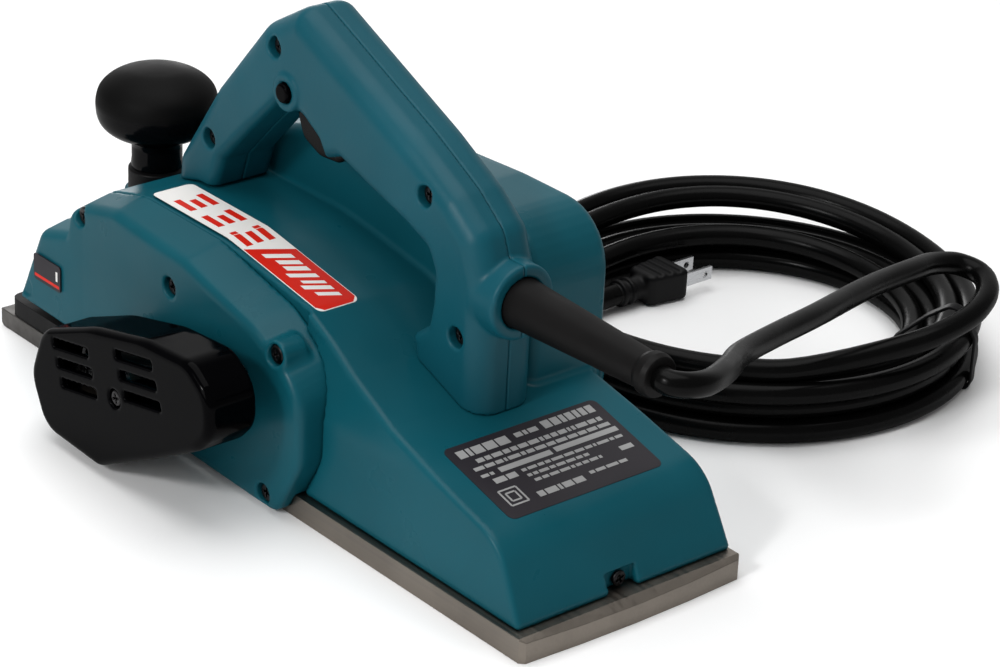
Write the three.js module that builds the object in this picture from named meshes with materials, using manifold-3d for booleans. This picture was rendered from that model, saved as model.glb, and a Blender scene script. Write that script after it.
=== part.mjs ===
// Electric hand planer for a 110 mm wide cut, in millimetres.
// +X is the direction of travel, +Y the operator's left, +Z up. The origin is the middle of the sole,
// on the plane of the rear base. The motor lies across the tool and drives the cutter drum by a belt
// on the left side. Turning the front knob raises the front base and sets the depth of cut.
import * as THREE from "three";
import { mergeVertices } from "three/addons/utils/BufferGeometryUtils.js";
import Module from "manifold-3d";

const wasm = await Module();
wasm.setup();

// ---- Driving dimensions ----
const GAP = 0.3;
const ARC_STEPS = 4;
const RING_STEPS = 24;
const SMALL_STEPS = 10;
const CIRCLE_STEPS = 18;
const BELT_STEPS = 8;

const SOLE = { length: 355, half: 56, rearThick: 10, frontThick: 8.3, bulge: 1.8 };
const REAR_X = -SOLE.length / 2;
const FRONT_X = SOLE.length / 2;
const DEPTH = { range: 2, carrierTop: 16.6 };
const DRUM = { x: 53, z: 25.7, core: 22.8, half: 54, shaft: 6 };
const MOTOR = { x: -8, z: 47, cavity: 30.5, stator: 29.8, bore: 20, rotor: 19.2, shaft: 4 };
const HUMP = { right: -59, left: -18, wall: 4, round: 5 };
const END = { x: -30, z: 55, r: 58, recess: -57 };
const SEAM_Y = 42;
const RIGHT_Y = -59;
const SIDE_FALL = 0.22;
const KNOB = { x: 138.5, deckZ: 66.6, ringTop: 77, screw: 4 };
const HANDLE_HALF = 15.5;
const GUARD = { z: 104.6, start: -92, end: -182, boss: 15.5, bossEnd: -105 };
const BELT = { y0: 79, y1: 91, thick: 2.2, drumR: 15, motorR: 12 };
const COVER = { back: 78.3, face: 101, wall: 2.4 };
const CORD = { r: 5, sides: 10, steps: 36 };
const COIL = { x: -20.5, y: -206, inner: 69, outer: 107, top: 36, tieAngle: 207 };
const COIL_MIDDLE = [(COIL.inner + COIL.outer) / 2, COIL.top / 2];
const PLUG = { x: 34, z: 7.9, start: -173 };

// Outline of the housing from the side: [x, z, corner radius].
const FRONT_FACE = [[165, 18.8, 1], [145, 60, 7], [124, 66.5, 2], [121.5, 77, 6], [110, 84.5, 5]];
const DECK = [
  [85, 91.5, 20], [31, 91.5, 20], [-29, 82.5, 20], [-59, 69, 12], [-88, 58.3, 12], [-157, 40.7, 22],
];
const HOUSING = [...FRONT_FACE, ...DECK, [-171.5, 10.3, 1], [28, 10.3], [28, 18.8]];

// ---- Materials ----
const metal = (color, roughness) => new THREE.MeshStandardMaterial({ color, roughness, metalness: 1 });
const plastic = (color, roughness) => new THREE.MeshStandardMaterial({ color, roughness, metalness: 0 });
const TEAL = plastic(0x1a5462, 0.42);
const BLACK_GLOSS = plastic(0x0c0d0e, 0.18);
const BLACK = plastic(0x161616, 0.45);
const RUBBER = plastic(0x262525, 0.8);
const PVC = plastic(0x121212, 0.35);
const ALUMINIUM = metal(0x9a958d, 0.4);
const DARK_BASE = metal(0x464646, 0.5);
const STEEL = metal(0x8d9094, 0.3);
const BLACK_STEEL = metal(0x1c1c1e, 0.35);
const COPPER = metal(0xa8602c, 0.35);
const PLATE = plastic(0x2d2a30, 0.4);
const RED = plastic(0xc41e14, 0.4);

// ---- Solids ----
function solid(geometry) {
  geometry.deleteAttribute("normal");
  geometry.deleteAttribute("uv");
  const merged = mergeVertices(geometry, 1e-4);
  const vertProperties = merged.attributes.position.array;
  const triVerts = new Uint32Array(merged.index.array);
  return new wasm.Manifold(new wasm.Mesh({ numProp: 3, vertProperties, triVerts }));
}

function geometryOf(body) {
  const { vertProperties, triVerts } = body.getMesh();
  const geometry = new THREE.BufferGeometry();
  geometry.setAttribute("position", new THREE.BufferAttribute(vertProperties, 3));
  geometry.setIndex(new THREE.BufferAttribute(triVerts, 1));
  geometry.computeVertexNormals();
  return geometry;
}

// A closed outline whose corners are rounded: each point is [u, v] or [u, v, radius].
function outline(points) {
  const shape = new THREE.Shape();
  points.forEach(([u, v, r = 0], i) => {
    const [pu, pv] = points[(i + points.length - 1) % points.length];
    const [nu, nv] = points[(i + 1) % points.length];
    const before = Math.hypot(pu - u, pv - v);
    const after = Math.hypot(nu - u, nv - v);
    const turn = Math.acos(((pu - u) * (nu - u) + (pv - v) * (nv - v)) / before / after);
    const cut = Math.min(r / Math.tan(turn / 2), before * 0.49, after * 0.49);
    const start = [u + ((pu - u) * cut) / before, v + ((pv - v) * cut) / before];
    const end = [u + ((nu - u) * cut) / after, v + ((nv - v) * cut) / after];
    if (i === 0) shape.moveTo(...start);
    else shape.lineTo(...start);
    if (r > 0) shape.quadraticCurveTo(u, v, ...end);
  });
  shape.closePath();
  return shape;
}

// The outline around two circles, as a belt runs: [x, z, r] each.
function beltOutline([x0, z0, r0], [x1, z1, r1]) {
  const along = Math.atan2(z1 - z0, x1 - x0);
  const lean = Math.acos((r0 - r1) / Math.hypot(x1 - x0, z1 - z0));
  const shape = new THREE.Shape();
  shape.absarc(x0, z0, r0, along + lean, along - lean + 2 * Math.PI, false);
  shape.absarc(x1, z1, r1, along - lean, along + lean, false);
  shape.closePath();
  return shape;
}

function extrude(shape, depth, round, steps = ARC_STEPS) {
  const geometry = new THREE.ExtrudeGeometry(shape, {
    depth: depth - 2 * round,
    curveSegments: steps,
    bevelEnabled: round > 0,
    bevelThickness: round,
    bevelSize: round,
    bevelOffset: -round,
    bevelSegments: 2,
  });
  return geometry.translate(0, 0, round);
}

// Prisms along Y of an outline in X and Z, along Z of one in X and Y, along X of one in Y and Z.
function alongY(shape, y0, y1, round = 0, steps = ARC_STEPS) {
  return solid(extrude(shape, y1 - y0, round, steps).rotateX(Math.PI / 2).translate(0, y1, 0));
}
function alongZ(shape, z0, z1, round = 0) {
  return solid(extrude(shape, z1 - z0, round).translate(0, 0, z0));
}
const YZX = new THREE.Matrix4().makeBasis(
  new THREE.Vector3(0, 1, 0),
  new THREE.Vector3(0, 0, 1),
  new THREE.Vector3(1, 0, 0),
);
function alongX(shape, x0, x1) {
  return solid(extrude(shape, x1 - x0, 0).applyMatrix4(YZX).translate(x0, 0, 0));
}

function box([x0, y0, z0], [x1, y1, z1]) {
  const geometry = new THREE.BoxGeometry(x1 - x0, y1 - y0, z1 - z0);
  return solid(geometry.translate((x0 + x1) / 2, (y0 + y1) / 2, (z0 + z1) / 2));
}

// Round bodies: a profile of [radius, height] pairs turned about an axis.
function lathe(profile, steps) {
  return new THREE.LatheGeometry(profile.map(([r, h]) => new THREE.Vector2(r, h)), steps);
}
function turnY(profile, { x, z }, steps = RING_STEPS) {
  return solid(lathe(profile, steps).translate(x, 0, z));
}
function turnZ(profile, { x, y = 0 }, steps = RING_STEPS) {
  return solid(lathe(profile, steps).rotateX(Math.PI / 2).translate(x, y, 0));
}
function turnX(profile, { y = 0, z }, steps = RING_STEPS) {
  return solid(lathe(profile, steps).rotateZ(-Math.PI / 2).translate(0, y, z));
}
const rod = (r, h0, h1) => [[0, h0], [r, h0], [r, h1], [0, h1]];
const ring = (r0, r1, h0, h1) => [[r0, h0], [r1, h0], [r1, h1], [r0, h1], [r0, h0]];
const rodY = (at, r, y0, y1, steps) => turnY(rod(r, y0, y1), at, steps);
const rodZ = (at, r, z0, z1, steps) => turnZ(rod(r, z0, z1), at, steps);
const rodX = (at, r, x0, x1, steps) => turnX(rod(r, x0, x1), at, steps);

const join = (first, ...rest) => rest.reduce((sum, body) => sum.add(body), first);
const cut = (first, ...rest) => rest.reduce((left, body) => left.subtract(body), first);

const planer = new THREE.Group();
function part(name, body, material) {
  const mesh = new THREE.Mesh(body.getMesh ? geometryOf(body) : body, material);
  mesh.name = name;
  planer.add(mesh);
}

// ---- Sole ----
// Seen from above: cut corners at the rear, and the rear edge bows outwards.
function rearPlan() {
  const [corner, half] = [2, SOLE.half];
  const shape = new THREE.Shape();
  shape.moveTo(REAR_X, -half + corner);
  shape.lineTo(REAR_X + corner, -half);
  shape.lineTo(60, -half);
  shape.lineTo(60, half);
  shape.lineTo(REAR_X + corner, half);
  shape.lineTo(REAR_X, half - corner);
  shape.quadraticCurveTo(REAR_X - 2 * SOLE.bulge, 0, REAR_X, -half + corner);
  shape.closePath();
  return shape;
}

function rearBase() {
  const rear = REAR_X - SOLE.bulge;
  const top = SOLE.rearThick;
  const side = outline([[rear, 0], [44.3, 0], [28.3, top], [REAR_X + 2.5, top], [rear, 8]]);
  return alongY(side, -SOLE.half, SOLE.half).intersect(alongZ(rearPlan(), -1, 12));
}

function frontBase() {
  const top = SOLE.frontThick;
  const side = outline([[64, 0], [FRONT_X - 2, 0], [FRONT_X, 1.5], [FRONT_X, top], [78, top]]);
  return alongY(side, -SOLE.half, SOLE.half);
}

// The black block on the front base, which the depth screw lifts.
function baseCarrier() {
  const plan = outline([[84, -55.5, 2], [171, -55.5, 6], [171, 55.5, 6], [84, 55.5, 2]]);
  const low = SOLE.frontThick + GAP;
  const bore = rodZ(KNOB, KNOB.screw + GAP, low - 1, 20, SMALL_STEPS);
  return alongZ(plan, low, DEPTH.carrierTop).subtract(bore);
}

// ---- Housing ----
const REAR_SECTION = [
  [-56, 9], [-52.5, 50, 20], [-46, 75], [-44, 100], [42, 100], [44.5, 75], [52, 48, 30], [53, 9],
];
const HUMP_OUTLINE = [
  [-90, 25, 20], [-90, 122.5, 33], [-38, 122.5, 60], [64, 117, 40], [107, 101, 10], [111, 60, 10], [60, 25, 20],
];
const DUCT = [[68, 40], [72, 76, 5], [102, 76, 8], [104, 48, 8], [80, 30]];
const DUCT_ROOF = [[69, 60], [70, 103, 5], [101, 92, 8], [103, 60]];

// The main casting: the deck over the base, and on its right the hump over the motor and the chip duct.
function motorHousing() {
  const frontSection = outline([[RIGHT_Y, 9, 0], [RIGHT_Y, 92.5, 7], [SEAM_Y, 92.5], [SEAM_Y, 9]]);
  const sideRoom = sideShell().translate([-2 * GAP, 0, 0]);
  const rear = alongX(outline(REAR_SECTION), REAR_X, -28).subtract(sideRoom);
  const front = alongX(frontSection, -49.5, 167);
  const side = alongY(outline(HOUSING), -60, 60);
  const hump = alongY(outline(HUMP_OUTLINE), HUMP.right, HUMP.left, HUMP.round);
  const bearingBoss = rodY(DRUM, 17, -68, RIGHT_Y + 2);
  const knobBoss = rodZ(KNOB, 14, 50, KNOB.deckZ);
  const outer = join(join(rear, front).intersect(side), hump, bearingBoss, knobBoss);

  const motorBore = rodY(MOTOR, MOTOR.cavity, -70, 50);
  const humpBore = rodY(END, END.r - HUMP.wall + 1, -70, HUMP.left - HUMP.wall)
    .subtract(box([-100, -70, -20], [60, 0, 14]));
  const drumBore = rodY(DRUM, 28, -SOLE.half - 0.5, 50).add(box([27, -56.5, 0], [84, 50, 22]));
  const drumSeat = rodY(DRUM, 13.3, -66.5, -50);
  const roofRoom = alongY(outline(DUCT_ROOF), -54, HUMP.left - HUMP.wall);
  const chipDuct = join(alongY(outline(DUCT), -70, 28), roofRoom);
  const nose = alongY(outline([[108, 18], [160, 18], [143, 56, 5], [112, 60, 5]]), -54, 37);
  const screwTube = rodZ(KNOB, 10, 18.8, 64, SMALL_STEPS);
  const screwBore = rodZ(KNOB, KNOB.screw + GAP, 0, 90, SMALL_STEPS);
  const rearRoom = alongY(outline([[-162, 9], [-150, 35, 8], [-88, 51, 6], [-56, 58, 6], [-50, 9]]), -45, 40);
  const hollow = join(motorBore, humpBore, drumBore, drumSeat, chipDuct, nose.subtract(screwTube), rearRoom);
  const notch = box([REAR_X, -NOTCH.half, 5], [NOTCH.x, NOTCH.half, NOTCH.top]);
  const notchBore = rodX(REAR_SCREW, 2, NOTCH.x - 1, REAR_SCREW.face + 14, SMALL_STEPS);
  const endRecess = rodY(END, END.r + GAP, -70, END.recess, 2 * CIRCLE_STEPS);
  return cut(outer, hollow, screwBore, notch, notchBore, endRecess);
}

// A square notch in the rear wall, with the screw that holds the rear base.
const NOTCH = { x: -166.2, half: 7.5, top: 18.2 };
const REAR_SCREW = { z: 14, face: -168.4 };
function rearScrew() {
  const { z, face } = REAR_SCREW;
  const head = [[0, face], [2.4, face], [3.2, face + 0.6], [3.2, face + 2], [1.6, face + 2]];
  const across = box([face - 1, -2, z - 0.4], [face + 1.2, 2, z + 0.4]);
  const upright = box([face - 1, -0.4, z - 2], [face + 1.2, 0.4, z + 2]);
  return cut(turnX([...head, [1.6, face + 13], [0, face + 13]], { z }, 12), across, upright);
}

function circleShape({ x, z }, r) {
  const shape = new THREE.Shape();
  shape.absarc(x, z, r, 0, 2 * Math.PI, false);
  return shape;
}

// The left shell, whose top falls away outwards.
const SIDE_SHELL = [
  ...FRONT_FACE, [85, 91.5, 20], [31, 91.5, 20], [-18, 81, 24], [-49.3, 64.5, 26], [-49.3, 29, 14], [-34, 1.5, 8],
  [62, 1.5], [80, 18.8],
];
const SIDE_PLAN = [[166, 40], [166, 56.5, 4], [110, 57.5], [30, 62.5], [-20, 64], [-51, 64, 6], [-51, 40]];
const FALL = new THREE.Matrix4().makeShear(0, 0, 0, -SIDE_FALL, 0, 0).setPosition(0, 0, SIDE_FALL * SEAM_Y);

function sideShell() {
  const plan = outline(SIDE_PLAN.map(([x, y, r]) => [x, y === 40 ? SEAM_Y + GAP : y, r]));
  const deep = SIDE_SHELL.map(([x, z, r]) => [x, z < 2 ? z - 12 : z, r]);
  const [y0, y1] = [SEAM_Y + GAP, 64.5];
  const geometry = extrude(outline(deep), y1 - y0, 0).rotateX(Math.PI / 2).translate(0, y1, 0);
  const fallen = solid(geometry.applyMatrix4(FALL));
  return fallen.intersect(alongY(outline(SIDE_SHELL), y0, y1)).intersect(alongZ(plan, -1, 100));
}

function sideHousing() {
  const boss = rodY(DRUM, 16.5, 55, 67);
  const overBase = box([-60, 30, -5], [62, SOLE.half + GAP, 10.6]);
  const drumBore = rodY(DRUM, 28, 40, SOLE.half).add(box([27, 40, 0], [84, SOLE.half, 22]));
  const drumSeat = rodY(DRUM, 13.3, 50, 65);
  const drumShaft = rodY(DRUM, 7, 50, 70, SMALL_STEPS);
  const motorBore = rodY(MOTOR, 24, 40, 57);
  const motorSeat = rodY(MOTOR, 11.3, 50, 62.3);
  const motorShaft = rodY(MOTOR, 6, 50, 70, SMALL_STEPS);
  const nose = alongY(outline([[108, 23], [158, 23], [142, 56, 5], [112, 64, 5]]), 40, 53);
  const screws = SIDE_SCREWS.map(({ x, y, z }) => rodY({ x, z }, 4.6, y - 2 - GAP, 70, SMALL_STEPS));
  const recess = rodY({ x: 156, z: 27 }, 4.5, 55.5, 70, SMALL_STEPS);
  return cut(join(sideShell(), boss), overBase, drumBore, drumSeat, drumShaft, motorBore, motorSeat, motorShaft,
    nose, recess, ...screws, ...SIDE_SCREWS.map((at) => screwBoreY(at, -12)));
}

const SIDE_SCREWS = [
  { x: 40.9, y: 59.5, z: 71.5 }, { x: -31.5, y: 61.5, z: 70.4 }, { x: -26, y: 61, z: 7.3, grip: 4.4 },
  { x: 112.5, y: 55, z: 75.5 },
];
const HANDLE_SCREWS = [
  { x: 35, y: 12.4, z: 167 }, { x: 79, y: 12.4, z: 113 }, { x: -62, y: 12.4, z: 137 },
  { x: -84, y: 12.4, z: 86 },
];

// A cross-head screw with its head's face at y, pointing to the right.
function screwY({ x, y, z, grip = 11 }) {
  const shank = [[0, y - grip], [1.6, y - grip], [1.6, y - 2]];
  const body = turnY([...shank, [3.4, y - 2], [3.4, y - 0.6], [2.4, y], [0, y]], { x, z }, 12);
  const across = box([x - 2, y - 1.2, z - 0.4], [x + 2, y + 1, z + 0.4]);
  const upright = box([x - 0.4, y - 1.2, z - 2], [x + 0.4, y + 1, z + 2]);
  return cut(body, across, upright);
}
function screwBoreY({ x, y, z }, depth) {
  return rodY({ x, z }, 2, y + depth, y + 2, SMALL_STEPS);
}

// ---- Belt side ----
const COVER_OUTLINE = [
  [84.5, 27, 14], [76, 49.5, 14], [40, 64.5, 60], [4, 73.5, 50], [-27, 76, 13], [-41.5, 66.5, 14],
  [-42.5, 50, 14], [-33, 40, 20], [-3, 23.5, 50], [35, 4.2, 8], [74, 5.6, 14],
];
const NECK_OUTLINE = [
  [80, 24, 12], [76, 44, 14], [40, 56, 20], [4, 63, 16], [-16, 58, 12], [-18.5, 40, 14], [-2, 20, 18],
  [28, 5, 8], [70, 5, 12],
];

function shrink(points, by) {
  const cx = points.reduce((sum, [x]) => sum + x, 0) / points.length;
  const cz = points.reduce((sum, [, z]) => sum + z, 0) / points.length;
  return points.map(([x, z, r]) => {
    const reach = Math.hypot(x - cx, z - cz);
    const keep = (reach - by * 1.25) / reach;
    return [cx + (x - cx) * keep, cz + (z - cz) * keep, r];
  });
}

function beltCase() {
  const outer = alongY(outline(NECK_OUTLINE), 64.8, COVER.back - GAP);
  const inner = alongY(outline(shrink(NECK_OUTLINE, COVER.wall)), 60, 85);
  return outer.subtract(inner);
}

function beltCover() {
  const outer = alongY(outline(COVER_OUTLINE), COVER.back, COVER.face, 3.5);
  const inner = alongY(outline(shrink(COVER_OUTLINE, COVER.wall)), COVER.back - 1, COVER.face - COVER.wall);
  const slots = [];
  const [slotLength, slotHeight, pitch] = [26, 4, 7.8];
  for (const [x, z] of [[50.5, 42.5], [6, 55]]) {
    for (const row of [-1, 0, 1]) {
      const slot = new THREE.BoxGeometry(slotLength, 8, slotHeight).rotateY(0.2);
      slots.push(solid(slot.translate(x + row * 3, COVER.face, z + row * pitch)));
    }
  }
  const screwPost = rodY(COVER_SCREW, 4.5, COVER.back, COVER.face - 1, SMALL_STEPS);
  const screwWell = rodY(COVER_SCREW, 4, COVER_SCREW.y - 2 - GAP, COVER.face + 5, SMALL_STEPS);
  return cut(join(outer.subtract(inner), screwPost), ...slots, screwWell, screwBoreY(COVER_SCREW, -30));
}
const COVER_SCREW = { x: 22, y: COVER.face - 0.7, z: 40.5, grip: 22 };

function driveBelt() {
  const drum = [DRUM.x, DRUM.z, BELT.drumR + GAP];
  const motor = [MOTOR.x, MOTOR.z, BELT.motorR + GAP];
  const grow = ([x, z, r]) => [x, z, r + BELT.thick];
  const [y0, y1] = [BELT.y0 + 1, BELT.y1 - 1];
  const outer = alongY(beltOutline(grow(motor), grow(drum)), y0, y1, 0, BELT_STEPS);
  return outer.subtract(alongY(beltOutline(motor, drum), y0 - 1, y1 + 1, 0, BELT_STEPS));
}

function pulley(at, r, shaft) {
  const { y0, y1 } = BELT;
  return turnY(ring(shaft + GAP, r, y0 + 0.8, y1 - 0.8), at);
}

// ---- Cutter drum ----
const BLADE_TURNS = [0, Math.PI];
function drum() {
  const { core, half, shaft } = DRUM;
  const body = turnY([
    [0, -65.5], [shaft, -65.5], [shaft, -half], [core, -half], [core, half], [shaft, half], [shaft, 92], [0, 92],
  ], DRUM);
  return cut(body, ...BLADE_TURNS.map((turn) => onDrum(box([-10, -60, core - 9], [7, 60, core + 5]), turn)));
}

// Turns a body made above the origin to its place on the drum.
function onDrum(body, turn) {
  return body.rotate([0, (turn * 180) / Math.PI + 90, 0]).translate([DRUM.x, 0, DRUM.z]);
}
function blade(turn) {
  const half = 55;
  return onDrum(box([-9.6, -half, 14.6], [-8, half, 23.5]), turn);
}
function bladeClamp(turn) {
  const shape = outline([[-7.6, 14.4], [6.4, 14.4], [6.4, 20.8, 2], [-7.6, 21.4, 1]]);
  return onDrum(alongY(shape, -52, 52), turn);
}

// ---- Motor ----
function armature() {
  const { shaft, rotor } = MOTOR;
  const profile = [
    [0, -51], [shaft, -51], [shaft, -22], [rotor - 5, -22], [rotor - 5, -18], [rotor, -18], [rotor, 18],
    [rotor - 5, 18], [rotor - 5, 22], [shaft, 22], [shaft, 92], [0, 92],
  ];
  return turnY(profile, MOTOR);
}
function stator() {
  return turnY(ring(MOTOR.bore, MOTOR.stator, -19, 19), MOTOR);
}
function commutator() {
  return turnY(ring(MOTOR.shaft + GAP, 10, -40, -26), MOTOR);
}
function fan() {
  const hub = turnY(ring(MOTOR.shaft + GAP, 9, 28, 40), MOTOR);
  const disc = turnY(ring(8, 27, 28, 29.6), MOTOR);
  const blades = [];
  for (let i = 0; i < 9; i += 1) {
    const vane = new THREE.BoxGeometry(18.6, 9, 1.6).translate(17.5, 34, 0).rotateY((i * 2 * Math.PI) / 9);
    blades.push(solid(vane.translate(MOTOR.x, 0, MOTOR.z)));
  }
  return join(hub, disc, ...blades);
}
function bearing(at, inner, outer, y0, y1) {
  return turnY(ring(inner + GAP, outer, y0, y1), at, 24);
}
function brush(side) {
  const near = 10 + GAP;
  const [x0, x1] = side > 0 ? [MOTOR.x + near, MOTOR.x + 22] : [MOTOR.x - 22, MOTOR.x - near];
  return box([x0, -37, MOTOR.z - 4], [x1, -29, MOTOR.z + 4]);
}

// The cover over the open right end of the motor housing, with its air slots.
function endCover() {
  const [y0, y1] = [END.recess - 4.3, END.recess - GAP];
  const disc = alongY(circleShape(END, END.r), y0, y1, 1.4, CIRCLE_STEPS)
    .subtract(box([-100, -70, -20], [60, 0, 10.6]));
  const slots = [];
  const pitch = 8;
  for (let i = -3; i <= 3; i += 1) {
    slots.push(box([END.x - 24, y0 - 2, 62 + i * pitch - 1.6], [END.x + 18, y1 + 2, 62 + i * pitch + 1.6]));
  }
  const seat = rodY(MOTOR, 11, -57.5, -46);
  const bearingSeat = rodY(MOTOR, 9.3, -54, -40);
  const screws = END_SCREWS.map((at) => rodY(at, 2, -70, -50, SMALL_STEPS));
  return cut(join(cut(disc, ...slots), seat), bearingSeat, ...screws);
}
const END_SCREWS = [{ x: -30, z: 108 }, { x: -82, z: 40 }];
function endScrew({ x, z }) {
  const face = END.recess - 4.6;
  const head = [[0, face - 2], [3.4, face - 2], [3.4, face], [1.6, face]];
  return turnY([...head, [1.6, face + 4.2], [0, face + 4.2]], { x, z }, 12);
}

function chipOutlet() {
  const outer = outline([[70, 43], [74, 74, 5], [100, 74, 8], [102, 50, 8], [84, 36]]);
  const inner = outline([[73, 46], [76.5, 71.5, 4], [98, 71.5, 6], [99.5, 52, 6], [84, 40]]);
  const rim = outline([[66, 39], [70, 79, 5], [104, 79, 8], [106, 47, 8], [84, 31]]);
  const flange = alongY(rim, -62, RIGHT_Y - GAP);
  return join(flange, alongY(outer, -68, -56)).subtract(alongY(inner, -75, -50));
}

// ---- Handle ----
const HANDLE_OUTER = [
  [106, 80], [104, 98], [78, 136], [46, 173, 16], [22, 187.3, 7], [-50, 155.6, 60], [-77, 141.4, 20],
  [-92, 130, 12], [-98.3, 114, 6], [-98.3, 50],
];
const HANDLE_INNER = [
  [-59, 50], [-59, 69, 1], [-57, 77, 2], [-66, 84, 3], [-68, 94, 3], [-68.5, 108, 6], [-64, 116, 6],
  [-50, 121.5, 12], [-24, 128.8], [-7.5, 134, 2], [1.5, 130.3, 1], [6, 137, 5], [17, 143.5, 8], [33, 144.5, 3],
  [54, 124], [71.5, 105.5], [76.5, 91], [76.5, 80],
];

function handle() {
  const arch = alongY(outline([...HANDLE_OUTER, ...HANDLE_INNER]), -HANDLE_HALF, HANDLE_HALF);
  const clearDeck = alongY(raised(HOUSING, GAP), -60, 60);
  const collar = rodX(GUARD, GUARD.boss, GUARD.bossEnd, -90);
  const ringBoss = rodY(LOCK, 8, 10, 16.6, 24);
  const gripRoom = [[30, 176], [20, 178], [-58, 139], [-64, 131], [-62, 122], [-20, 136], [24, 155]];
  const pocket = alongY(outline(gripRoom), -11.5, 11.5);
  const throat = box([-8, -6.5, 125], [28, 6.5, 160]);
  const postPocket = box([-91, -11.5, 62], [-72, 11.5, 124]);
  const cordBore = rodX(GUARD, 10.6, -120, -88);
  const lockBore = rodY(LOCK, 4.4, 3, 20, SMALL_STEPS);
  const strutPocket = alongY(outline([[91, 100], [68, 134], [54, 150], [52, 142], [80, 104]]), -11.5, 11.5);
  const screws = HANDLE_SCREWS.flatMap((at) => [
    rodY(at, 4.4, at.y - 2 - GAP, 20, SMALL_STEPS),
    screwBoreY(at, -11.4),
  ]);
  const bosses = HANDLE_SCREWS.map((at) => rodY(at, 4.5, -12, 12, SMALL_STEPS));
  const inside = cut(join(pocket, postPocket, strutPocket), ...bosses);
  return cut(join(arch, collar, ringBoss), clearDeck, inside, throat, cordBore, lockBore, ...screws);
}
function raised(points, by) {
  return outline(points.map(([x, z, r]) => [x, z + by, r]));
}
const LOCK = { x: 26, z: 150.8 };

function handleHalf(side) {
  const keep = side > 0 ? box([-200, GAP / 2, 0], [200, 60, 250]) : box([-200, -60, 0], [200, -GAP / 2, 250]);
  return handle().intersect(keep);
}

function trigger() {
  const shape = [
    [20.5, 155], [15, 157, 2], [-3.5, 146], [-4.8, 143], [-4.8, 131, 2], [4, 125.5, 5], [16, 124.5, 8],
    [27, 129, 6], [31.5, 139, 3], [27, 143.2, 2], [20.5, 144.4],
  ];
  return alongY(outline(shape), -6.1, 6.1, 1);
}
function lockButton() {
  return turnY([[0, 6.6], [4.1, 6.6], [4.1, 17], [3.1, 18.4], [0, 18.4]], LOCK, SMALL_STEPS);
}
function switchBody() {
  return alongY(outline([[14, 166], [-40, 141.5], [-36, 133], [-12, 142], [-6, 150.5], [14, 161]]), -9, 9);
}
function cordClamp() {
  return box([-86, -9, 99], [-80, 9, 110]);
}

// ---- Depth knob ----
function knobHead() {
  const { screw, ringTop } = KNOB;
  const low = ringTop + GAP;
  const bore = screw + GAP;
  const head = [
    [11.4, low], [11, 81], [11, 88], [16.5, 91.5], [23.4, 96], [26.1, 102], [26.4, 107], [25, 112.5],
    [20, 117.5], [11, 120.8],
  ];
  return turnZ([[0, 90], [bore, 90], [bore, low], ...head, [0, 121.6]], KNOB, 32);
}
function knobScrew() {
  return rodZ(KNOB, KNOB.screw, SOLE.frontThick + DEPTH.range + 2 * GAP, 89.5, SMALL_STEPS);
}
function depthScale() {
  return turnZ(ring(KNOB.screw + 2 * GAP, 12.5, KNOB.deckZ + GAP, KNOB.ringTop), KNOB);
}

// ---- Labels ----
function topLabel() {
  const along = [[85, 91.9], [31, 91.9], [-6, 86.6], [-29, 83.2]];
  const strip = [...along, ...along.map(([x, z]) => [x, z + 0.5]).reverse()];
  return alongY(outline(strip), 20, 40);
}
function ratingPlate() {
  return alongY(outline([[-106.5, 53.9], [-146, 43.8], [-146, 44.3], [-106.5, 54.4]]), -38, 39);
}
function sideLabel() {
  return box([126.5, 57.9, 35], [147, 58.3, 47]);
}

// ---- Mains lead ----
function cordGuard() {
  const { z, start, end } = GUARD;
  const profile = [
    [0, start], [10.2, start], [10.2, -105], [9.4, -125], [7.6, -174], [8.8, -177], [8.6, end], [0, end],
  ];
  return turnX(profile.reverse(), { z }, 24);
}

const LEAD = [
  [-182.4, 0, 104.6], [-186.5, 0, 104.4], [-190.5, -5, 103.6], [-190.5, -14.5, 101.6], [-184, -28, 98],
  [-173, -44, 92.5], [-157.5, -66, 86], [-144.5, -96, 80], [-131.5, -133, 74], [-109.6, -188.4, 64],
  [-99, -225, 58], [-93.5, -246, 54], [-95.5, -260, 51], [-105, -264, 49], [-117, -256, 47.5], [-126, -238, 45],
  [-127, -218, 42], [-123, -201, 39],
];
function cordLead() {
  const path = new THREE.CatmullRomCurve3(LEAD.map((p) => new THREE.Vector3(...p)), false, "centripetal");
  const section = new THREE.Shape();
  section.absarc(0, 0, CORD.r, 0, 2 * Math.PI, false);
  const options = { steps: CORD.steps, extrudePath: path, curveSegments: CORD.sides / 2 };
  return solid(new THREE.ExtrudeGeometry(section, options));
}

const COIL_SECTION = [
  [COIL.inner, 3], [COIL.inner + 3, 0], [COIL.outer - 4, 0], [COIL.outer, 4], [COIL.outer, 24], [COIL.outer - 7, 31],
  [COIL.outer - 16, COIL.top], [COIL.inner + 6, COIL.top], [COIL.inner, 29],
];
function cordCoil() {
  return turnZ([...COIL_SECTION, COIL_SECTION[0]], COIL, 40);
}
function cordTie() {
  const grow = (points, by) => {
    const [cr, cz] = COIL_MIDDLE;
    const lowest = -2.4 + by;
    return points.map(([r, z]) => [r + Math.sign(r - cr) * by, Math.max(z + Math.sign(z - cz) * by, lowest)]);
  };
  const outer = outline(grow(COIL_SECTION, 2).map(([r, z]) => [r, Math.max(z, -4)]));
  const inner = outline(grow(COIL_SECTION, GAP));
  const band = alongY(outer, -3, 3).subtract(alongY(inner, -5, 5)).subtract(box([0, -9, -9], [200, 9, GAP]));
  return band.rotate([0, 0, COIL.tieAngle]).translate([COIL.x, COIL.y, 0]);
}

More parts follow.
